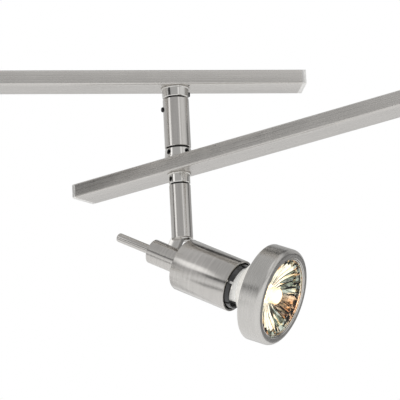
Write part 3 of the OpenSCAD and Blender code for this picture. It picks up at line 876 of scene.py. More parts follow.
def across_z(angle: float) -> Vector:
    """Returns the level direction at an angle in degrees about Z."""
    return Vector((math.cos(math.radians(angle)), math.sin(math.radians(angle)), 0))


def level(node: str, top: bool = False) -> float:
    """Returns the height of a node's underside or top, in metres."""
    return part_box(node)[1 if top else 0].z


def arm_place(side: str, height: float) -> Matrix:
    """Returns an arm's frame: its origin on the pivot at that height, and +X towards the far head."""
    near, far = (Vector(joint(f"{side}_{spot}_head_pan")["pos_m"]) for spot in ("near", "far"))
    along = (far - near) * Vector((1, 1, 0))
    pivot = Vector(joint(f"{side}_arm_swing")["pos_m"])
    return basis(Vector((pivot.x, pivot.y, height)), along, UP)


def stem_place(head: str, height: float) -> Matrix:
    """Returns a stem's frame: its axis is Z, and its head points along +X."""
    across = Vector(joint(f"{head}_head_tilt")["axis"])
    pan = Vector(joint(f"{head}_head_pan")["pos_m"])
    return basis(Vector((pan.x, pan.y, height)), across.cross(UP), UP)


@dataclass(frozen=True)
class HeadLine:
    """Where a lamp head's centre line runs, from its tilt pin."""

    tilt: float = 29.0
    drop: float = 19.0
    lamp_seat: float = 34.9
    lean: float = 4.6

    def pin_place(self, head: str) -> Matrix:
        """Returns the frame at the tilt pin, with +X forward along the head and Y along the pin."""
        hinge = joint(f"{head}_head_tilt")
        place = stem_place(head, hinge["pos_m"][2])
        return place @ about("Y", self.tilt)

    def axis_place(self, head: str) -> Matrix:
        """Returns the frame on the centre line, with Z forward from the pin's foot."""
        return self.pin_place(head) @ move(z=-self.drop) @ about("Y", 90)

    def lamp_place(self, head: str) -> Matrix:
        """Returns the lamp's frame, with Z forward from its base, leaning in the holder."""
        return self.axis_place(head) @ move(z=self.lamp_seat) @ about("Y", -self.lean)


LINE = HeadLine()
SIDES = ("right", "left")
HEADS = tuple(f"{side}_{spot}" for side in SIDES for spot in ("near", "far"))


# ---- Bars ----


@dataclass
class FlatBar:
    """A flat rectangular tube, brushed along its length, with a pale cap in each end."""

    width: float = 20.0
    height: float = 9.2
    wall: float = 1.2
    edge: float = 1.1
    cap: float = 2.4
    plug: float = 8.0
    play: float = 0.1
    hole: float = 5.1
    cap_edge: float = 0.22
    plug_taper: tuple[float, float, float] = (1, 0.985, 0.97)

    def long_edges(self, piece: Piece) -> None:
        """Rounds the four long edges of a block that lies along X."""
        with editing(piece):
            pick("EDGE", lambda at, way: abs(way.x) > 0.9)
            bpy.ops.mesh.bevel(offset=self.edge * MM, segments=5, affect="EDGES")

    def tube(self, name: str, start: float, end: float, up: Sequence[float],
             down: Sequence[float]) -> Piece:
        """Models the tube, its underside at height zero.

        Args:
            name: The piece's name.
            start: Where the tube starts along X, in mm.
            end: Where it ends.
            up: Places of the wire holes in its upper wall.
            down: Places of the wire holes in its lower wall.

        Returns:
            The tube.
        """
        half = self.width / 2
        piece = block(name, (start, -half, 0), (end, half, self.height))
        self.long_edges(piece)
        with editing(piece):
            pick("FACE", lambda at, normal: abs(normal.x) > 0.9)
            bpy.ops.mesh.inset(thickness=self.wall * MM, use_even_offset=True)
            bpy.ops.mesh.delete(type="ONLY_FACE")
            pick("EDGE", lambda at, way: abs(way.x) < 0.1)
            only_boundary(piece)
            bpy.ops.mesh.bridge_edge_loops()
            face_outwards()
        for x, over in [(x, 1) for x in up] + [(x, -1) for x in down]:
            middle = Vector((x, 0, self.height / 2))
            cut(piece, drill(self.hole, middle, middle + UP * over * self.height))
        return dress(piece, SATIN_LENGTHWISE)

    def end_cap(self, name: str, outside: float, way: int) -> Piece:
        """Models a cap, its plate flush with the tube's outside and its plug in the bore.

        Args:
            name: The piece's name.
            outside: Where its outer face lies along X, in mm.
            way: 1 if it faces +X, -1 if it faces -X.

        Returns:
            The cap.
        """
        half, inner = self.width / 2, outside - way * self.cap
        low, high = sorted((outside, inner))
        piece = block(name, (low, -half, 0), (high, half, self.height))
        self.long_edges(piece)
        with editing(piece):
            pick("EDGE", lambda at, x_way: abs(x_way.x) < 0.5)
            bpy.ops.mesh.bevel(offset=self.cap_edge * MM, segments=2, affect="EDGES")
            pick("FACE", lambda at, normal: normal.x * way < -0.9)
            inset = self.wall + self.play - self.cap_edge
            bpy.ops.mesh.inset(thickness=inset * MM, use_even_offset=True)
            extrude(-way * self.plug, 0, 0)
            bpy.ops.transform.resize(value=self.plug_taper)
        return dress(piece, PALE_CAP)

    def pair_of_caps(self, name: str, start: float, end: float) -> Piece:
        """Models the caps of both ends as one piece."""
        return join(name, [self.end_cap(name, start, -1), self.end_cap(name + "_b", end, 1)])


# ---- Collars, posts and screws ----


@dataclass
class Collar:
    """A polished collar that seats on a bar face at height zero and reaches down from it."""

    radius: float
    taper: float
    height: float = 6.3
    flange: float = 1.0
    flange_out: float = 0.8
    bore: float = 5.1
    screw: float = 1.6

    @property
    def screw_z(self) -> float:
        """Height of its screws' centres."""
        return -(self.height + self.flange) / 2

    def model(self, name: str, angles: Sequence[float]) -> Piece:
        """Models the collar.

        Args:
            name: The piece's name.
            angles: Where its screw holes are, in degrees about Z.

        Returns:
            The collar.
        """
        rim, r, h = self.radius + self.flange_out, self.radius, self.height
        piece = turn(name, [
            (self.bore, 0), (rim - 0.25, 0), (rim, -0.25), (rim, -self.flange + 0.25),
            (rim - 0.2, -self.flange), (r + self.taper, -self.flange - 0.12), (r, -h + 0.4), (r - 0.35, -h),
            (self.bore, -h)])
        for angle in angles:
            way, foot = across_z(angle), UP * self.screw_z
            cut(piece, drill(self.screw, foot + way * (self.bore - 1), foot + way * (r + 3)))
        return dress(piece, POLISHED, 30)


def socket_screw(name: str, start: float, end: float) -> Piece:
    """Models a socket-head grub screw along +X.

    Args:
        name: The piece's name.
        start: Its inner end from the axis, in mm.
        end: Its outer end.

    Returns:
        The screw.
    """
    radius, pitch, thread_depth, plain_ends = 1.5, 0.5, 0.16, 1.2
    socket_radius, socket_length = 0.95, 2.4
    length = end - start
    outline = [(0, 0), (radius - 0.4, 0), (radius, 0.4)]
    for i in range(int((length - plain_ends) / pitch)):
        z = 0.5 + i * pitch
        outline += [(radius - thread_depth, z + pitch / 2), (radius, z + pitch)]
    outline += [(radius, length - 0.2), (radius - 0.2, length), (0, length)]
    piece = turn(name, outline, 24)
    clear_selection()
    bpy.ops.mesh.primitive_cylinder_add(vertices=6, radius=socket_radius * MM, depth=socket_length * MM)
    cutter = bpy.context.object
    cutter.data.transform(move(z=length))
    cut(piece, cutter)
    piece.data.transform(move(x=start) @ about("Y", 90))
    return dress(piece, BLACK_OXIDE, 30)


@dataclass
class Post:
    """A post: collar, groove, tube and groove, hanging from a bar face at height zero."""

    radius: float = 8.0
    length: float = 30.8
    groove: float = 0.9
    wall: float = 1.5
    spigot: float = 5.0
    wire_way: float = 3.2
    head: float = 5.0
    spigot_up: float = 3.2
    into_canopy: float = 3.5
    side_screw_z: float = -6.1
    edge: float = 0.25
    bushing_reach: float = 12.49

    @property
    def collar(self) -> Collar:
        """The collar at the top of the post."""
        return Collar(self.radius, 0.4)

    @property
    def top(self) -> float:
        """Height of the tube's upper end."""
        return -self.collar.height - self.groove

    def tube(self, name: str) -> Piece:
        """Models the tube with the spigot that goes up through its collar."""
        r, foot, bore, edge = self.radius, self.top - self.length, self.radius - self.wall, self.edge
        piece = turn(name, [
            (self.wire_way, self.spigot_up), (self.spigot, self.spigot_up), (self.spigot, self.top),
            (r - edge, self.top), (r, self.top - edge), (r, foot + edge), (r - edge, foot), (bore, foot),
            (bore, self.top - self.head), (self.wire_way, self.top - self.head)])
        return self.shade_spigot(dress(piece, SATIN_DRAWN, 30))

    def ceiling_tube(self, name: str, rise: float) -> Piece:
        """Models the post between the upper bar, at height zero, and the canopy, at that rise in mm."""
        r, low, edge = self.radius, self.collar.height + self.groove, self.edge
        high, tip = low + self.length, rise + self.into_canopy
        piece = turn(name, [
            (self.wire_way, -self.spigot_up), (self.spigot, -self.spigot_up), (self.spigot, low),
            (r - edge, low), (r, low + edge), (r, high - edge), (r - edge, high), (self.spigot, high),
            (self.spigot, tip), (self.wire_way, tip)])
        return self.shade_spigot(dress(piece, SATIN_DRAWN, 30))

    def shade_spigot(self, piece: Piece) -> Piece:
        """Blackens the spigot and the bore of a tube: painted shade for the groove under the collar, where the
        spigot shows.
        """
        limit = (self.spigot + 0.05) * MM
        return dress_part(piece, BLACK_BORE_AND_SHADE,
                          lambda at, normal: at.xy.length < limit and abs(normal.z) < 0.9)

    def side_screw(self, name: str) -> Piece:
        """Models the domed screw in the tube's side, at its place on the -X side."""
        r = 1.6
        piece = turn(name, [
            (0, -self.wall), (1.5, -self.wall), (1.5, 0.05), (r, 0.1), (r, 0.45), (r - 0.25, 0.9),
            (r - 0.8, 1.2), (0, 1.25)], 32)
        cut(piece, block("driver_slot", (-2, -0.22, 0.85), (2, 0.22, 2)))
        piece.data.transform(move(-self.radius, 0, self.top + self.side_screw_z) @ about("Y", -90))
        return dress(piece, BLACK_OXIDE, 30)

    def bushing(self, name: str, tube_radius: float, up: float) -> Piece:
        """Models the black swivel bushing, its flange in the groove above height zero.

        Args:
            name: The piece's name.
            tube_radius: Outside radius of the tube that turns on it.
            up: How far its foot reaches down through the collar and the bar.

        Returns:
            The bushing.
        """
        shaft, rim, thickness, top = tube_radius - self.wall - 0.05, tube_radius - 1, 0.5, self.bushing_reach
        piece = turn(name, [
            (self.wire_way, -up), (self.spigot, -up), (self.spigot, 0), (rim - 0.15, 0), (rim, 0.12),
            (rim, thickness), (shaft, thickness + 0.02), (shaft, top - 0.59), (shaft - 0.6, top),
            (self.wire_way, top)], 64)
        return dress(piece, BLACK_OXIDE, 30)


# ---- Ceiling canopy ----


@dataclass
class Canopy:
    """The ceiling canopy, with its crossbar, studs, wire nuts and leads."""

    radius: float = 63.5
    height: float = 24.0
    wall: float = 1.5
    rounding: float = 7.0
    bore: float = 5.1
    screw_spacing: float = 56.0
    bar_width: float = 22.0
    bar_thickness: float = 2.0
    box_spacing: float = 88.9
    slot_length: float = 12.0
    slot_width: float = 4.8
    nut_ring: float = 36.0
    nut_z: float = -12.0
    nut_angles: tuple[float, ...] = (0, 130, 230)
    lead: float = 1.0
    stud_hole: float = 2.3
    stud_thread: float = 2.1
    centre_hole: float = 5.0
    bar_corner: float = 3.0

    def shell(self) -> Piece:
        """Models the spun shell, its rim on the ceiling at height zero."""
        r, h, w, b = self.radius, self.height, self.wall, self.rounding
        piece = turn("canopy_shell", [
            (self.bore, -h), *arc((r - b, b - h), b, -90, 0, 12), (r, -0.3), (r - 0.3, 0), (r - w, 0),
            *arc((r - b, b - h), b - w, 0, -90, 12), (self.bore, w - h)], 160)
        for side in (-1, 1):
            y = side * self.screw_spacing / 2
            cut(piece, drill(self.stud_hole, Vector((0, y, -h - 2)), Vector((0, y, w - h + 2))))
        return dress(piece, SATIN_TURNED, 30)

    def crossbar(self) -> Piece:
        """Models the stamped crossbar with its slots and threaded holes."""
        half_w, t = self.bar_width / 2, self.bar_thickness
        half_l = (self.box_spacing + self.slot_length + 8) / 2
        piece = block("ceiling_crossbar", (-half_w, -half_l, -t), (half_w, half_l, 0))
        with editing(piece):
            pick("EDGE", lambda at, way: abs(way.z) > 0.9)
            bpy.ops.mesh.bevel(offset=self.bar_corner * MM, segments=6, affect="EDGES")

        def through(radius: float, y: float, sides: int = 32) -> Piece:
            """Returns a cutter right through the bar."""
            return drill(radius, Vector((0, y, -t - 1)), Vector((0, y, 1)), sides)

        cut(piece, through(self.centre_hole, 0, 48))
        reach = (self.slot_length - self.slot_width) / 2
        for side in (-1, 1):
            cut(piece, through(self.stud_thread, side * self.screw_spacing / 2))
            y = side * self.box_spacing / 2 - reach
            slot_cutter = through(self.slot_width / 2, y)
            with editing(slot_cutter):
                pick("VERT", lambda at, normal, low=y * MM: at.y > low + HAIR)
                bpy.ops.transform.translate(value=(0, 2 * reach * MM, 0))
            cut(piece, slot_cutter)
        soften(piece, 0.2)
        return dress(piece, ZINC, 30)

    def studs(self) -> Piece:
        """Models the two studs with their washers and acorn nuts."""
        h, parts = self.height, []
        crest, root, pitch, below = 2.0, 1.75, 0.7, 4.0
        for side in (-1, 1):
            thread = [(0, -h - below), (crest - 0.4, -h - below)]
            z = 0.4 - h - below
            while z < -0.8:
                thread += [(crest, z), (root, z + pitch / 2)]
                z += pitch
            stud = turn("canopy_stud", [*thread, (crest, -0.3), (crest - 0.2, -0.01), (0, -0.01)], 24)
            nut = turn("acorn_nut", [
                (0, -h - 8.8), (0.8, -h - 8.8), *arc((0, -h - 4.3), 4.5, -70, 0, 8)[0:8], (4.5, -h - 4.3),
                (4.5, -h - 1.1), (4.3, -h - 0.8), (5.4, -h - 0.8), (5.5, -h - 0.7), (5.5, -h), (2.1, -h),
                (2.1, -h - 4.2), (0, -h - 4.2)], 48)
            for part, finish in ((stud, ZINC), (nut, POLISHED)):
                dress(part, finish, 30)
                part.data.transform(move(y=side * self.screw_spacing / 2))
                parts.append(part)
        return join("canopy_studs_and_acorn_nuts", parts)

    def nut(self) -> Piece:
        """Models a fluted wire nut along +Z, open at its wide end."""
        sides = 36
        piece = turn("wire_nut", [
            (0, 0), (2.4, 0), (3.2, 0.8), (3.9, 8.0), (4.25, 11.2), (4.3, 11.6), (4.6, 12.2), (4.6, 14.6),
            (4.2, 15), (2.3, 15), (2.3, 5), (0, 5)], sides)
        grip_low, grip_high, grip_radius, flute_edge, flute_depth = 0.8, 8.0, 3.0, 0.08, 0.4

        def flute(at: Vector, normal: Vector) -> bool:
            """Passes every other face of the grip."""
            face = round(math.degrees(math.atan2(at.y, at.x)) * sides / 360 + 0.5)
            return (grip_low * MM < at.z < grip_high * MM and at.xy.length > grip_radius * MM
                    and face % 2 == 0)

        with editing(piece):
            pick("FACE", flute)
            bpy.ops.mesh.inset(thickness=flute_edge * MM, use_individual=True)
            bpy.ops.transform.shrink_fatten(value=-flute_depth * MM)
        return dress(piece, NYLON, 30)

    def nuts(self) -> Piece:
        """Models the three wire nuts where they lie round the canopy."""
        at = move(self.nut_ring, 0, self.nut_z) @ about("Y", -90)
        name = "canopy_wire_nuts"
        return join(name, copies(self.nut(), name, [about("Z", angle) @ at for angle in self.nut_angles]))

    def leads(self, start: float) -> Piece:
        """Models the three supply leads, each with one bend into its nut.

        Args:
            start: Height where they come up out of the post, in mm.

        Returns:
            The leads.
        """
        bend, inner, into_nut, parts = 5.0, 1.6, 6.0, []
        for angle, finish in zip(self.nut_angles, (SHEATH_BLACK, SHEATH_WHITE, SHEATH_GREEN)):
            lead = flat_ring("lead", self.lead, 16)
            with editing(lead):
                bpy.ops.mesh.select_all(action="SELECT")
                bpy.ops.transform.translate(value=(inner * MM, 0, start * MM))
                extrude(0, 0, self.nut_z - bend - start)
                bpy.ops.mesh.spin(steps=8, angle=math.radians(90), axis=(0, 1, 0),
                                  center=((inner + bend) * MM, 0, (self.nut_z - bend) * MM))
                extrude(self.nut_ring - into_nut - inner - bend, 0, 0)
                face_outwards(merge=True)
            dress(lead, finish)
            lead.data.transform(about("Z", angle))
            parts.append(lead)
        return join("supply_lead_set", parts)

    def build(self) -> None:
        """Builds the canopy and what it holds."""
        body = "ceiling_frame"
        hand_over(self.shell(), body, "satin_nickel", "canopy")
        hand_over(self.crossbar(), body, "zinc_plate", "crossbar")
        hand_over(self.studs(), body, "polished_nickel", "canopy_screws")
        hand_over(self.nuts(), body, "orange_nylon", "wire_nuts")
        hand_over(self.leads(-self.height - Post().collar.height), body, "lead_sheath", "supply_leads")


# ---- Upper bar ----


@dataclass
class UpperFrame:
    """The upper bar with its caps, the posts above and below it, their collars and screws."""

    overhang: float = 80.0
    collar_screw_out: float = 0.9
    standing_turn: float = 60.0

    def build(self) -> None:
        """Builds the upper bar and all three posts."""
        body, bar, post = "ceiling_frame", FlatBar(), Post()
        under, top = level("upper_bar"), level("upper_bar", True)
        pivots = [Vector(joint(f"{side}_arm_swing")["pos_m"]).x / MM for side in SIDES]
        half = max(pivots) + self.overhang
        tube = bar.tube("upper_bar_tube", bar.cap - half, half - bar.cap, [0], pivots)
        caps = bar.pair_of_caps("upper_bar_caps", -half, half)
        for piece, slot, node in ((tube, "satin_nickel", "upper_bar"), (caps, "pale_cap", "upper_end_caps")):
            piece.data.transform(Matrix.Translation((0, 0, under)))
            hand_over(piece, body, slot, node)
        spots = [Matrix.Translation((x * MM, 0, under)) @ about("Z", 0 if x > 0 else 180)
                 for x in pivots]
        rise = (level("canopy") - top) / MM
        self.tubes(post, spots, top, rise)
        self.collars(post, spots, top)
        self.screws(post, spots, top)

    def tubes(self, post: Post, spots: Sequence[Matrix], top: float, rise: float) -> None:
        """Builds the three post tubes.

        Args:
            post: The post they belong to.
            spots: Where the two lower posts hang.
            top: Height of the bar's upper face, in metres.
            rise: From there to the canopy, in mm.
        """
        middle = post.ceiling_tube("ceiling_post_tube", rise)
        middle.data.transform(Matrix.Translation((0, 0, top)))
        name = "post_tube_set"
        parts = copies(post.tube("post_tube"), name, spots) + [middle]
        hand_over(join(name, parts), "ceiling_frame", "satin_nickel", "post_tubes")

    def collars(self, post: Post, spots: Sequence[Matrix], top: float) -> None:
        """Builds the four collars on the upper bar and under the canopy."""
        standing = Matrix.Translation((0, 0, top)) @ FLIP @ about("Z", self.standing_turn)
        hanging, name = Matrix.Translation((0, 0, level("canopy"))), "post_collar_set"
        parts = copies(post.collar.model("collar", [0]), name, [*spots, standing])
        parts += copies(post.collar.model("plain_collar", []), name, [hanging])
        hand_over(join(name, parts), "ceiling_frame", "polished_nickel", "post_collars")

    def screws(self, post: Post, spots: Sequence[Matrix], top: float) -> None:
        """Builds the socket screws of the collars and the domed screws of the posts."""
        collar = post.collar
        start, name = collar.bore + SCREW_AIR, "post_screw_set"
        long = socket_screw("long_screw", start, post.radius + self.collar_screw_out)
        short = socket_screw("short_screw", start, post.radius)
        standing = Matrix.Translation((0, 0, top)) @ FLIP @ about("Z", self.standing_turn)
        parts = copies(long, name, [spot @ move(z=collar.screw_z) for spot in spots])
        parts += copies(post.side_screw("domed_screw"), name, spots)
        parts += copies(short, name, [standing @ move(z=collar.screw_z)])
        hand_over(join(name, parts), "ceiling_frame", "black_oxide", "post_screws")


# ---- Swing arms ----


@dataclass
class SwingArm:
    """A swing arm: its bar and caps, hub collar, stem collars, screws and bushings."""

    side: str
    tail: float = 78.0
    tip: float = 78.0
    stem_radius: float = 6.5
    hub_angles: tuple[float, ...] = (-95, -10)
    stem_angles: tuple[float, ...] = (-107, 100)
    slot_angle: float = -48.0
    lug_angle: float = -26.0
    sunk: float = 0.3

    def stem_collar(self, name: str) -> Piece:
        """Models a stem's collar, with the L-shaped slot and the stop lug that works in it."""
        collar = Collar(self.stem_radius, 0.0)
        piece = collar.model(name, self.stem_angles)
        r = self.stem_radius
        upright = ((r - 0.9, -0.55, -5.3), (r + 3, 0.55, -0.2))
        sideways = ((r - 0.9, -0.55, -1.9), (r + 3, 2.6, -0.9))
        for low, high in (upright, sideways):
            cutter = block("slot", low, high)
            cutter.data.transform(about("Z", self.slot_angle))
            cut(piece, cutter)
        lug = block("stop_lug", (r - 0.6, -0.7, -5.6), (r + 0.75, 0.7, -1.2))
        soften(lug, 0.3, 3)
        lug.data.transform(about("Z", self.lug_angle))
        dress(piece, POLISHED, 30)
        dress(lug, POLISHED, 30)
        piece.data.attributes.remove(piece.data.attributes[OWN_FRAME])
        own_frame(piece)
        return join(name, [piece, lug])

    def build(self) -> None:
        """Builds the arm and everything fixed to it."""
        body, bar, post = f"{self.side}_arm", FlatBar(), Post()
        bar_node = f"{body}_bar"
        under, top = level(bar_node), level(bar_node, True)
        low, high = arm_place(self.side, under), arm_place(self.side, top)
        near, far = (Vector(joint(f"{self.side}_{spot}_head_pan")["pos_m"]) for spot in ("near", "far"))
        reach = (far - near).xy.length / MM
        start, end = -self.tail, reach + self.tip
        tube = bar.tube(f"{body}_tube", start + bar.cap, end - bar.cap, [0], [0, reach])
        caps = bar.pair_of_caps(f"{body}_caps", start, end)
        for piece, slot, node in ((tube, "satin_nickel", bar_node), (caps, "pale_cap", f"{body}_end_caps")):
            piece.data.transform(low)
            hand_over(piece, body, slot, node)
        stems = [low @ move(x) for x in (0, reach)]
        self.collars(post, high @ FLIP, stems)
        self.screws(post, high @ FLIP, stems)
        self.bushings(post, high, stems)

    def collars(self, post: Post, hub: Matrix, stems: Sequence[Matrix]) -> None:
        """Builds the hub collar and the stem collars."""
        name = f"{self.side}_arm_collar_set"
        parts = copies(post.collar.model("hub_collar", [-a for a in self.hub_angles]), name, [hub])
        parts += copies(self.stem_collar("stem_collar"), name, stems)
        hand_over(join(name, parts), f"{self.side}_arm", "polished_nickel", f"{self.side}_arm_collars")

    def screws(self, post: Post, hub: Matrix, stems: Sequence[Matrix]) -> None:
        """Builds the socket screws of the arm's collars."""
        collar = post.collar
        start, name = collar.bore + SCREW_AIR, f"{self.side}_arm_screw_set"
        hub_screw = socket_screw("hub_screw", start, post.radius - self.sunk)
        stem_screw = socket_screw("stem_screw", start, self.stem_radius - self.sunk)
        down = move(z=collar.screw_z)
        parts = copies(hub_screw, name, [hub @ down @ about("Z", -a) for a in self.hub_angles])
        parts += copies(stem_screw, name,
                        [spot @ down @ about("Z", a) for spot in stems for a in self.stem_angles])
        hand_over(join(name, parts), f"{self.side}_arm", "black_oxide", f"{self.side}_arm_grub_screws")

    def bushings(self, post: Post, top: Matrix, stems: Sequence[Matrix]) -> None:
        """Builds the swivel bushings of the hub and the stems."""
        collar = post.collar.height
        up, name = collar + post.spigot_up, f"{self.side}_arm_bushing_set"
        parts = copies(post.bushing("hub_bushing", post.radius, up), name, [top @ move(z=collar)])
        parts += copies(post.bushing("stem_bushing", self.stem_radius, up), name,
                        [spot @ move(z=-collar) @ FLIP for spot in stems])
        hand_over(join(name, parts), f"{self.side}_arm", "black_oxide", f"{self.side}_arm_bushings")


# ---- Lamp heads ----


@dataclass
class StemTube:
    """A stem: the tube under the arm with a slotted lower end, and the pin across it."""

    radius: float = 6.5
    length: float = 34.0
    wall: float = 1.5
    pin_height: float = 6.5
    pin_radius: float = 1.5
    slot: float = 4.6
    slot_top: float = 10.4
    slot_front: float = 5.1
    pin_blind: float = 5.12
    way: float = 2.0

    def tube(self) -> Piece:
        """Models the tube, its lower end at height zero and its slot along X."""
        r, top, floor = self.radius, self.length, self.slot_top + 4
        piece = turn("stem_model", [
            (self.way, 0), (r - 0.45, 0), (r, 0.45), (r, top - 0.25), (r - 0.25, top),
            (r - self.wall, top), (r - self.wall, floor), (self.way, floor)])
        half = self.slot / 2
        cut(piece, block("slot", (-r - 1, -half, -1), (self.slot_front, half, self.slot_top)))
        cut(piece, drill(self.pin_radius + 0.01, Vector((0, -self.pin_blind, self.pin_height)),
                         Vector((0, r + 2, self.pin_height))))
        return dress(piece, SATIN_DRAWN, 30)

    def pin(self) -> Piece:
        """Models the tilt pin along Y through the origin, its socketed end towards +Y."""
        half = math.sqrt(self.radius ** 2 - self.pin_radius ** 2) - 0.1
        r, inner = self.pin_radius, self.pin_blind - 0.1
        piece = turn("pin_model", [
            (0, -half + 0.5), (r - 0.7, -half + 0.35), (r - 0.4, -half), (r - 0.15, -half),
            (r, -half + 0.2), (r, inner - 0.3), (r - 0.3, inner), (0, inner)], 32)
        piece.data.transform(about("X", 90))
        return dress(piece, POLISHED, 30)


@dataclass
class HeadBody:
    """The metal of a lamp head: neck with its tongue, barrel and aiming rod, and the black lamp holder."""

    barrel_radius: float = 16.0
    barrel_length: float = 39.0
    barrel_wall: float = 1.4
    barrel_floor: float = 3.0
    barrel_start: float = 10.9
    neck_radius: float = 7.5
    neck_length: float = 23.5
    rod_radius: float = 2.8
    rod_length: float = 25.5
    tongue_thickness: float = 4.0
    tongue_width: float = 7.0
    pin_radius: float = 1.5
    holder_bore: float = 12.24
    holder_wall: float = 1.2
    holder_floor: float = 33.95
    contact_hole: float = 2.08
    contact_out: float = 5.0
    holder_rear: float = 6.0
    holder_out: float = 2.5
    notch_half: float = 0.7
    notch_depth: float = 2.2
    spigot_step: float = 2.0
    wiring_step: float = 4.0
    notches: int = 6
    rib_height: float = 0.5

    @property
    def neck_start(self) -> float:
        """Rear end of the neck along the centre line."""
        return self.barrel_start - self.neck_length

    def tongue(self) -> Piece:
        """Models the tongue from the pin, at the origin, down to the neck's centre."""
        piece = flat_ring("tongue", self.tongue_width / 2, 64, upright=True)
        with editing(piece):
            pick("VERT", lambda at, normal: at.z < -HAIR)
            bpy.ops.transform.translate(value=(0, 0, -LINE.drop * MM))
            bpy.ops.mesh.select_all(action="SELECT")
            bpy.ops.transform.translate(value=(0, self.tongue_thickness / 2 * MM, 0))
            extrude(0, -self.tongue_thickness, 0)
            face_outwards()
        soften(piece, 0.35, 3, 60)
        across = Vector((0, self.tongue_thickness, 0))
        return cut(piece, drill(self.pin_radius + 0.05, -across, across))

    def neck(self) -> Piece:
        """Models the neck, with Z along the centre line and the tongue out to the pin."""
        r, start, end = self.neck_radius, self.neck_start, self.barrel_start
        spigot = self.barrel_floor + 2
        rod_bore = self.rod_radius - 0.4
        outer, inner = r - self.spigot_step, r - self.wiring_step
        piece = turn("neck_model", [
            (rod_bore, start), (rod_bore + 0.9, start), (r - 0.5, start), (r, start + 0.5), (r, end - 0.01),
            (outer, end), (outer, end + spigot), (inner, end + spigot), (inner, start + 8),
            (rod_bore, start + 6)])
        tongue = self.tongue()
        tongue.data.transform((move(z=-LINE.drop) @ about("Y", 90)).inverted())
        past = self.tongue_width / 2 + 1
        cut(tongue, drill(inner - 0.1, Vector((0, 0, -past)), Vector((0, 0, past))))
        cut(piece, tongue, "UNION")
        dress(piece, SATIN_TURNED, 30)
        edge = (self.neck_radius + 0.02) * MM
        return dress_part(piece, POLISHED, lambda at, normal: at.xy.length > edge)

    def barrel(self) -> Piece:
        """Models the barrel, with Z forward from its rear face on the centre line."""
        r, start, end = self.barrel_radius, self.barrel_start, self.barrel_start + self.barrel_length
        bore, hole = r - self.barrel_wall, self.neck_radius - self.spigot_step + 0.1
        piece = turn("barrel_model", [
            (hole, start), (r - 0.8, start), (r - 0.25, start + 0.25), (r, start + 0.8), (r, end - 0.3),
            (r - 0.3, end), (bore + 0.3, end), (bore, end - 0.3), (bore, start + self.barrel_floor),
            (hole, start + self.barrel_floor)], 128)
        dress(piece, SATIN_TURNED, 30)
        limit, floor = (bore + 0.05) * MM, (start + 0.5) * MM
        return dress_part(piece, BLACK_BORE_AND_SHADE,
                          lambda at, normal: at.xy.length < limit and at.z > floor)

    def rod(self) -> Piece:
        """Models the aiming rod behind the neck."""
        r, start, tip, stub = self.rod_radius, self.neck_start, 1.4, self.rod_radius - 0.5
        back = start - self.rod_length
        piece = turn("rod_model", [
            (0, start + 5.5), (stub, start + 5.5), (stub, start), (r, start - 0.01),
            *arc((r - tip, back + tip), tip, 0, -80, 6), (0, back)], 48)
        return dress(piece, SATIN_DRAWN, 30)

    def holder(self) -> Piece:
        """Models the black lamp holder: a ribbed sleeve with a floor and contact holes."""
        rear = self.barrel_start + self.barrel_floor + self.holder_rear
        front = self.barrel_start + self.barrel_length + self.holder_out
        bore, r, floor = self.holder_bore, self.holder_bore + self.holder_wall, self.holder_floor
        ribs, peak = [], r + self.rib_height
        for back in (4.0, 8.0):
            z = front - back
            ribs += [(peak - 0.05, z + 1.2), (peak, z + 1.1), (peak, z + 0.1), (peak - 0.05, z),
                     (r, z - 0.02)]
        piece = turn("holder_model", [
            (0, rear), (r - 0.5, rear), (r, rear + 0.5), *reversed(ribs), (r, front - 0.4),
            (r - 0.4, front), (bore + 0.3, front), (bore, front - 0.3), (bore, floor), (0, floor)])
        for side in (-1, 1):
            at = Vector((0, side * self.contact_out, rear - 1))
            cut(piece, drill(self.contact_hole, at, at + UP * (front + 1 - rear)))
        for i in range(self.notches):
            half = self.notch_half
            notch = block("notch", (bore - 1, -half, front - self.notch_depth), (r + 2, half, front + 1))
            notch.data.transform(about("Z", (i + 0.5) * 360 / self.notches))
            cut(piece, notch)
        return dress(piece, BLACK_CERAMIC, 30)


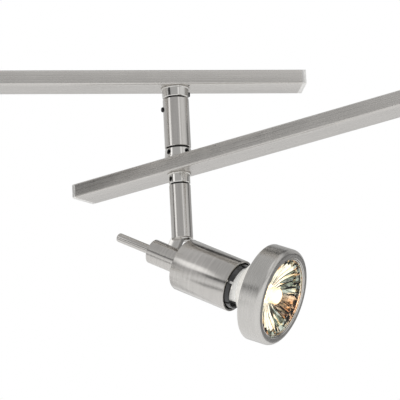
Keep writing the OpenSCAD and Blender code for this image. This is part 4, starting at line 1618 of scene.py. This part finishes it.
@dataclass
class ReflectorLamp:
    """The reflector lamp: ceramic base with pins, facetted bowl, lit capsule and front glass."""

    radius: float = 25.0
    length: float = 45.0
    rim_height: float = 2.2
    base_radius: float = 10.5
    base_length: float = 20.0
    throat: float = 12.0
    wall: float = 1.4
    lens: float = 1.6
    capsule_radius: float = 4.75
    capsule_length: float = 22.0
    pin_radius: float = 1.5
    pin_spacing: float = 10.0
    pin_length: float = 6.0
    facets: int = 28
    rows: int = 6
    curve: float = 0.62
    valley: float = 0.935

    @property
    def well(self) -> float:
        """Radius of the well that the capsule stands in."""
        return self.capsule_radius + 1

    def bowl_radius(self, share: float, throat: float, rim: float) -> float:
        """Returns the bowl's radius at a share of the way from its throat to its rim."""
        return throat + (rim - throat) * share ** self.curve

    def base(self) -> Piece:
        """Models the white ceramic base, its rear face at height zero, with its two pins and vent slots."""
        r, end = self.base_radius, self.base_length
        inner = self.well
        piece = turn("lamp_base_model", [
            (0, 0), (r - 0.6, 0), (r, 0.6), (r, end - 0.2), (r - 0.3, end), (inner, end),
            (inner, end - 3), (0, end - 3)], 64)
        vent_radius, vent_depth = 1.25, 1.6
        for i in range(4):
            way, foot = across_z(i * 90 + 20), UP * (end - 4.6)
            cut(piece, drill(vent_radius, foot + way * (r - vent_depth), foot + way * (r + 2), 20))
        dress(piece, WHITE_CERAMIC, 30)
        parts = [piece]
        for side in (-1, 1):
            pin = turn("lamp_pin", [
                (0, -self.pin_length), (self.pin_radius - 0.5, -self.pin_length),
                (self.pin_radius, 0.5 - self.pin_length), (self.pin_radius, 0.5), (0, 0.5)], 24)
            dress(pin, ZINC, 30)
            pin.data.transform(move(y=side * self.pin_spacing / 2))
            parts.append(pin)
        return join("lamp_base_model", parts)

    def bowl(self) -> Piece:
        """Models the pressed bowl, with flat facets inside and a plain outside."""
        rim_z, rim = self.length - self.rim_height, self.radius
        inner_rim, inner_throat = rim - 1.6, self.well
        depth = rim_z - self.base_length
        inner_depth = self.length - self.lens - self.base_length - self.wall
        outside = [(self.bowl_radius(i / 10, self.throat, rim), self.base_length + depth * i / 10)
                   for i in range(1, 11)]
        bowl_rim, foot = inner_rim - 0.6, self.base_length + self.wall
        inside = [(self.bowl_radius(i / self.rows, inner_throat, bowl_rim), foot + inner_depth * i / self.rows)
                  for i in range(self.rows, 0, -1)]
        piece = turn("bowl_model", [
            (self.base_radius - 0.4, self.base_length), (self.throat, self.base_length), *outside,
            (rim, self.length - 0.2), (rim - 0.2, self.length), (inner_rim, self.length),
            (inner_rim, self.length - self.lens), *inside, (inner_throat, self.base_length + self.wall),
            (inner_throat, self.base_length + 0.1)], self.facets * 2)
        low, high = (foot + 0.1) * MM, (self.length - self.lens - 0.1) * MM

        def valley(at: Vector, normal: Vector) -> bool:
            """Passes every other line of points inside the bowl."""
            turns = round((math.degrees(math.atan2(at.y, at.x)) % 360) * self.facets / 180)
            share = min(1, max(0, (at.z / MM - foot) / inner_depth))
            limit = self.bowl_radius(share, inner_throat, bowl_rim) + 0.1
            return turns % 2 == 1 and at.xy.length < limit * MM and low < at.z < high

        with editing(piece):
            pick("VERT", valley)
            bpy.ops.transform.resize(value=(self.valley, self.valley, 1), center_override=(0, 0, 0))
        dress(piece, DICHROIC, 8)
        inner = (inner_rim - 0.02) * MM

        def on_back(at: Vector, normal: Vector) -> bool:
            """Passes the faces on the bowl's back."""
            share = min(1, max(0, (at.z / MM - self.base_length) / depth))
            shell = self.bowl_radius(share, self.throat, rim) - 0.75
            return at.xy.length > min(shell * MM, inner) and normal.z < 0.5

        return dress_part(piece, GLASS_BACK, on_back)

    def capsule(self) -> Piece:
        """Models the quartz capsule standing in the throat, with its pinched top."""
        r, foot = self.capsule_radius, self.base_length - 3
        top = foot + self.capsule_length + 3
        piece = turn("capsule_model", [
            (0, foot), (r - 0.4, foot), (r, foot + 0.4), *arc((0, top - r), r, 0, 84, 10),
            (0, top - 0.03)], 48)
        return dress(piece, QUARTZ, 60)

    def glass(self) -> Piece:
        """Models the front glass with ground edges."""
        r, low, high = self.radius - 1.7, self.length - self.lens, self.length
        piece = turn("glass_model", [
            (0, low), (r - 0.25, low), (r, low + 0.25), (r, high - 0.25), (r - 0.25, high), (0, high)])
        return dress(piece, GLASS, 30)


@dataclass
class TrimRing:
    """The trim ring round the lamp, and the spring clip inside its front opening."""

    radius: float = 29.5
    depth: float = 14.4
    opening: float = 24.5
    wall: float = 1.6
    lip: float = 1.2
    rounding: float = 3.0
    pocket: float = 4.0
    lamp_radius: float = 25.0
    lamp_length: float = 45.0

    @property
    def front(self) -> float:
        """Height of the ring's front face from the lamp's base."""
        return self.lamp_length + self.lip

    def ring(self) -> Piece:
        """Models the ring: skirt, pocket for the lamp's rim and rounded front lip."""
        r, front, rear = self.radius, self.front, self.front - self.depth
        pocket, skirt = self.lamp_radius + 0.1, r - self.wall
        shoulder = front - self.lip - self.pocket
        middle = (r - self.rounding, front - self.rounding)
        piece = turn("ring_model", [
            (r, rear + 0.25), *arc(middle, self.rounding, 0, 90, 8),
            (self.opening + 0.3, front), (self.opening, front - 0.3), (self.opening, front - self.lip),
            (pocket, front - self.lip), (pocket, shoulder), (skirt, shoulder), (skirt, rear + 0.2),
            (skirt + 0.2, rear), (r - 0.25, rear)], 160)
        return dress(piece, SATIN_SPUN, 30)

    def clip(self) -> Piece:
        """Models the sprung wire that lies in the opening against the glass, with a gap between its ends."""
        wire, gap = 0.45, 14.0
        at, height = self.opening - wire - 0.04, self.lamp_length + wire + 0.02
        piece = flat_ring("clip_model", wire, 12, upright=True)
        with editing(piece):
            bpy.ops.mesh.select_all(action="SELECT")
            bpy.ops.transform.translate(value=(at * MM, 0, height * MM))
            bpy.ops.mesh.spin(steps=96, angle=math.radians(360 - gap), axis=(0, 0, 1), center=(0, 0, 0))
            face_outwards(merge=True)
        return dress(piece, POLISHED, 40)


@dataclass(frozen=True)
class Part:
    """A head's part: its model, where it goes, its body's kind, its slot and the node it stands for."""

    label: str
    model: Piece
    place: Callable[[str], Matrix]
    body: str
    slot: str
    node: str | None


class LampHeads:
    """All the lamp heads, each part modelled once and copied to every head."""

    def parts(self) -> list[Part]:
        """Models the parts of one head.

        Returns:
            The parts, each in its own frame.
        """
        stem, body, lamp, ring = StemTube(), HeadBody(), ReflectorLamp(), TrimRing()

        def at_stem_end(head: str) -> Matrix:
            """Returns the frame at the stem's lower end."""
            return stem_place(head, level(f"{head}_stem"))

        def at_pin(head: str) -> Matrix:
            """Returns the stem's frame at the tilt pin."""
            return stem_place(head, joint(f"{head}_head_tilt")["pos_m"][2])

        axis, lens = LINE.axis_place, LINE.lamp_place
        return [
            Part("stem_tube", stem.tube(), at_stem_end, "swivel", "satin_nickel", "stem"),
            Part("hinge_pin", stem.pin(), at_pin, "swivel", "polished_nickel", "tilt_pin"),
            Part("turned_neck", body.neck(), axis, "head", "satin_nickel", "neck"),
            Part("turned_barrel", body.barrel(), axis, "head", "satin_nickel", "barrel"),
            Part("handle_rod", body.rod(), axis, "head", "satin_nickel", "aiming_rod"),
            Part("ceramic_holder", body.holder(), axis, "head", "black_ceramic", "lamp_holder"),
            Part("lamp_base", lamp.base(), lens, "head", "dichroic_glass", None),
            Part("facetted_bowl", lamp.bowl(), lens, "head", "dichroic_glass", "reflector"),
            Part("quartz_capsule", lamp.capsule(), lens, "head", "lit_quartz", "capsule"),
            Part("front_glass", lamp.glass(), lens, "head", "clear_glass", "lens"),
            Part("spun_trim_ring", ring.ring(), lens, "head", "satin_nickel", "trim_ring"),
            Part("retaining_clip", ring.clip(), lens, "head", "polished_nickel", None),
        ]

    def build(self) -> None:
        """Builds every head from the same models."""
        for part in self.parts():
            for head in HEADS:
                piece = copy_at(part.model, f"{head}_{part.label}", part.place(head))
                nodes = [f"{head}_{part.node}"] if part.node else []
                hand_over(piece, f"{head}_{part.body}", part.slot, *nodes)
            bpy.data.objects.remove(part.model)


# ---- Studio ----


@dataclass(frozen=True)
class Card:
    """A soft card in the studio: where it stands, seen from the fixture, and how bright it is.

    Azimuth 0 is the way that -Y points, 90 is +X, and elevation is above level, all in degrees.
    """

    azimuth: float
    elevation: float
    half_width: float
    half_height: float
    brightness: float
    edge: float = 8.0


CARDS = (
    Card(-26, 34, 36, 46, 0.50, 10),
    Card(12, 48, 20, 16, 0.85, 8),
    Card(-90, 31, 32, 31, 0.60, 8),
    Card(-90, 18, 6.5, 9, 0.04, 4),
    Card(-70.5, 21.5, 9.5, 8.5, 1.38, 5),
    Card(-143, 20, 20, 40, 0.66, 10),
    Card(19, 22, 5.5, 34, 1.00, 5),
    Card(52, 24, 19, 36, 0.78, 10),
    Card(95, 24, 11, 40, 0.20, 8),
    Card(140, 20, 28, 40, 0.50, 14),
    Card(-176, 16, 10, 20, 0.95, 6),
    Card(150, 68, 44, 13, 0.02, 7),
    Card(-61, 7.0, 11, 4.2, 0.0, 3),
    Card(115, 5.0, 35, 4.0, 0.03, 3),
    Card(14, 2.0, 12, 2.6, 0.04, 3),
    Card(-87, -20, 13, 4.5, 0.25, 5),
    Card(122, -11, 20, 8, 0.22, 6),
    Card(166, -14, 24, 9, 0.70, 6),
)


class Studio:
    """The pale floor, the soft surroundings and the camera.

    The haze is two elevations in degrees and the brightness at each.
    """

    floor_z: float = -2.7
    floor_half: float = 6.0
    floor_glow: float = 0.38
    floor_glow_seen: float = 0.52
    haze: tuple[float, ...] = (-12.0, 4.0, 0.90, 0.62)

    def floor(self) -> None:
        """Lays the pale floor."""
        clear_selection()
        bpy.ops.mesh.primitive_plane_add(size=2 * self.floor_half, location=(0, 0, self.floor_z))
        floor = bpy.context.object
        floor.name = "studio_floor"
        material = bpy.data.materials.new("pale_floor")
        material.use_nodes = True
        shader = next(n for n in material.node_tree.nodes if n.type == "BSDF_PRINCIPLED")
        shader.inputs["Base Color"].default_value = (0.90, 0.90, 0.90, 1)
        shader.inputs["Roughness"].default_value = 0.9
        shader.inputs["Emission Color"].default_value = (1, 1, 1, 1)
        board = Board(material.node_tree)
        seen = board.add("LightPath").outputs["Is Camera Ray"]
        glow = board.span(seen, 0.0, 1.0, self.floor_glow, self.floor_glow_seen)
        board.feed(shader, Emission_Strength=glow)
        floor.data.materials.append(material)

    def surroundings(self) -> None:
        """Builds the world: white behind the fixture, and soft grey cards for the metal to mirror."""
        world = bpy.data.worlds.new("studio")
        bpy.context.scene.world = world
        world.use_nodes = True
        board = Board(world.node_tree)
        output = next(n for n in world.node_tree.nodes if n.type == "OUTPUT_WORLD")
        parts = board.add("SeparateXYZ", {0: board.add("TexCoord").outputs["Generated"]}).outputs
        degrees = 180 / math.pi
        around = board.math("ARCTAN2", parts[0], board.math("MULTIPLY", parts[1], -1.0))
        azimuth = board.math("MULTIPLY", around, degrees)
        elevation = board.math("MULTIPLY", board.math("ARCSINE", parts[2]), degrees)
        tone = board.span(elevation, *self.haze, smooth=True)
        for card in CARDS:
            masks = []
            for angle, middle, half in ((azimuth, card.azimuth, card.half_width),
                                        (elevation, card.elevation, card.half_height)):
                away = board.math("ABSOLUTE", board.math("SUBTRACT", angle, middle))
                masks.append(board.span(away, half - card.edge / 2, half + card.edge / 2, 1.0, 0.0, True))
            mask = board.math("MULTIPLY", *masks)
            change = board.math("MULTIPLY", mask, board.math("SUBTRACT", card.brightness, tone))
            tone = board.math("ADD", tone, change)
        mirrored = board.add("Background", {"Color": tone, "Strength": 1.0})
        behind = board.add("Background", {"Color": (1, 1, 1, 1), "Strength": 1.0})
        seen = board.add("LightPath").outputs["Is Camera Ray"]
        both = board.add("MixShader", {0: seen, 1: mirrored.outputs[0], 2: behind.outputs[0]})
        board.tree.links.new(both.outputs[0], output.inputs["Surface"])

    def camera(self) -> None:
        """Sets up the camera below the right post, looking up at the crossing of the bars."""
        azimuth, elevation, roll = (math.radians(angle) for angle in (8.67, 16.09, -2.895))
        distance, aside, below, lens = 2017.1, 15.233, 67.827, 296.9
        level_way = Vector((math.sin(azimuth), math.cos(azimuth), 0))
        ahead = level_way * math.cos(elevation) + UP * math.sin(elevation)
        right = Vector((math.cos(azimuth), -math.sin(azimuth), 0))
        upward = right.cross(ahead)
        across = right * math.cos(roll) + upward * math.sin(roll)
        upright = upward * math.cos(roll) - right * math.sin(roll)
        pivot = Vector(joint("right_arm_swing")["pos_m"])
        target = Vector((pivot.x, pivot.y, level("upper_bar")))
        place = target + (across * aside - upright * below - ahead * distance) * MM
        data = bpy.data.cameras.new("camera")
        data.lens, data.sensor_width = lens, 36.0
        data.clip_start, data.clip_end = 0.05, 100.0
        camera = bpy.data.objects.new("camera", data)
        bpy.context.scene.collection.objects.link(camera)
        turned = Matrix((across, upright, -ahead)).transposed()
        camera.matrix_world = Matrix.Translation(place) @ turned.to_4x4()
        bpy.context.scene.camera = camera

    def build(self) -> None:
        """Builds the studio."""
        bpy.context.scene.view_settings.view_transform = "Standard"
        self.floor()
        self.surroundings()
        self.camera()


def main() -> None:
    """Builds the fixture from the ceiling down, then the studio."""
    logging.basicConfig(level=logging.INFO, format="%(name)s: %(message)s")
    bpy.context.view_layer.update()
    Canopy().build()
    UpperFrame().build()
    for side in SIDES:
        SwingArm(side).build()
    LampHeads().build()
    Studio().build()
    clear_selection()


if __name__ == "__main__":
    main()
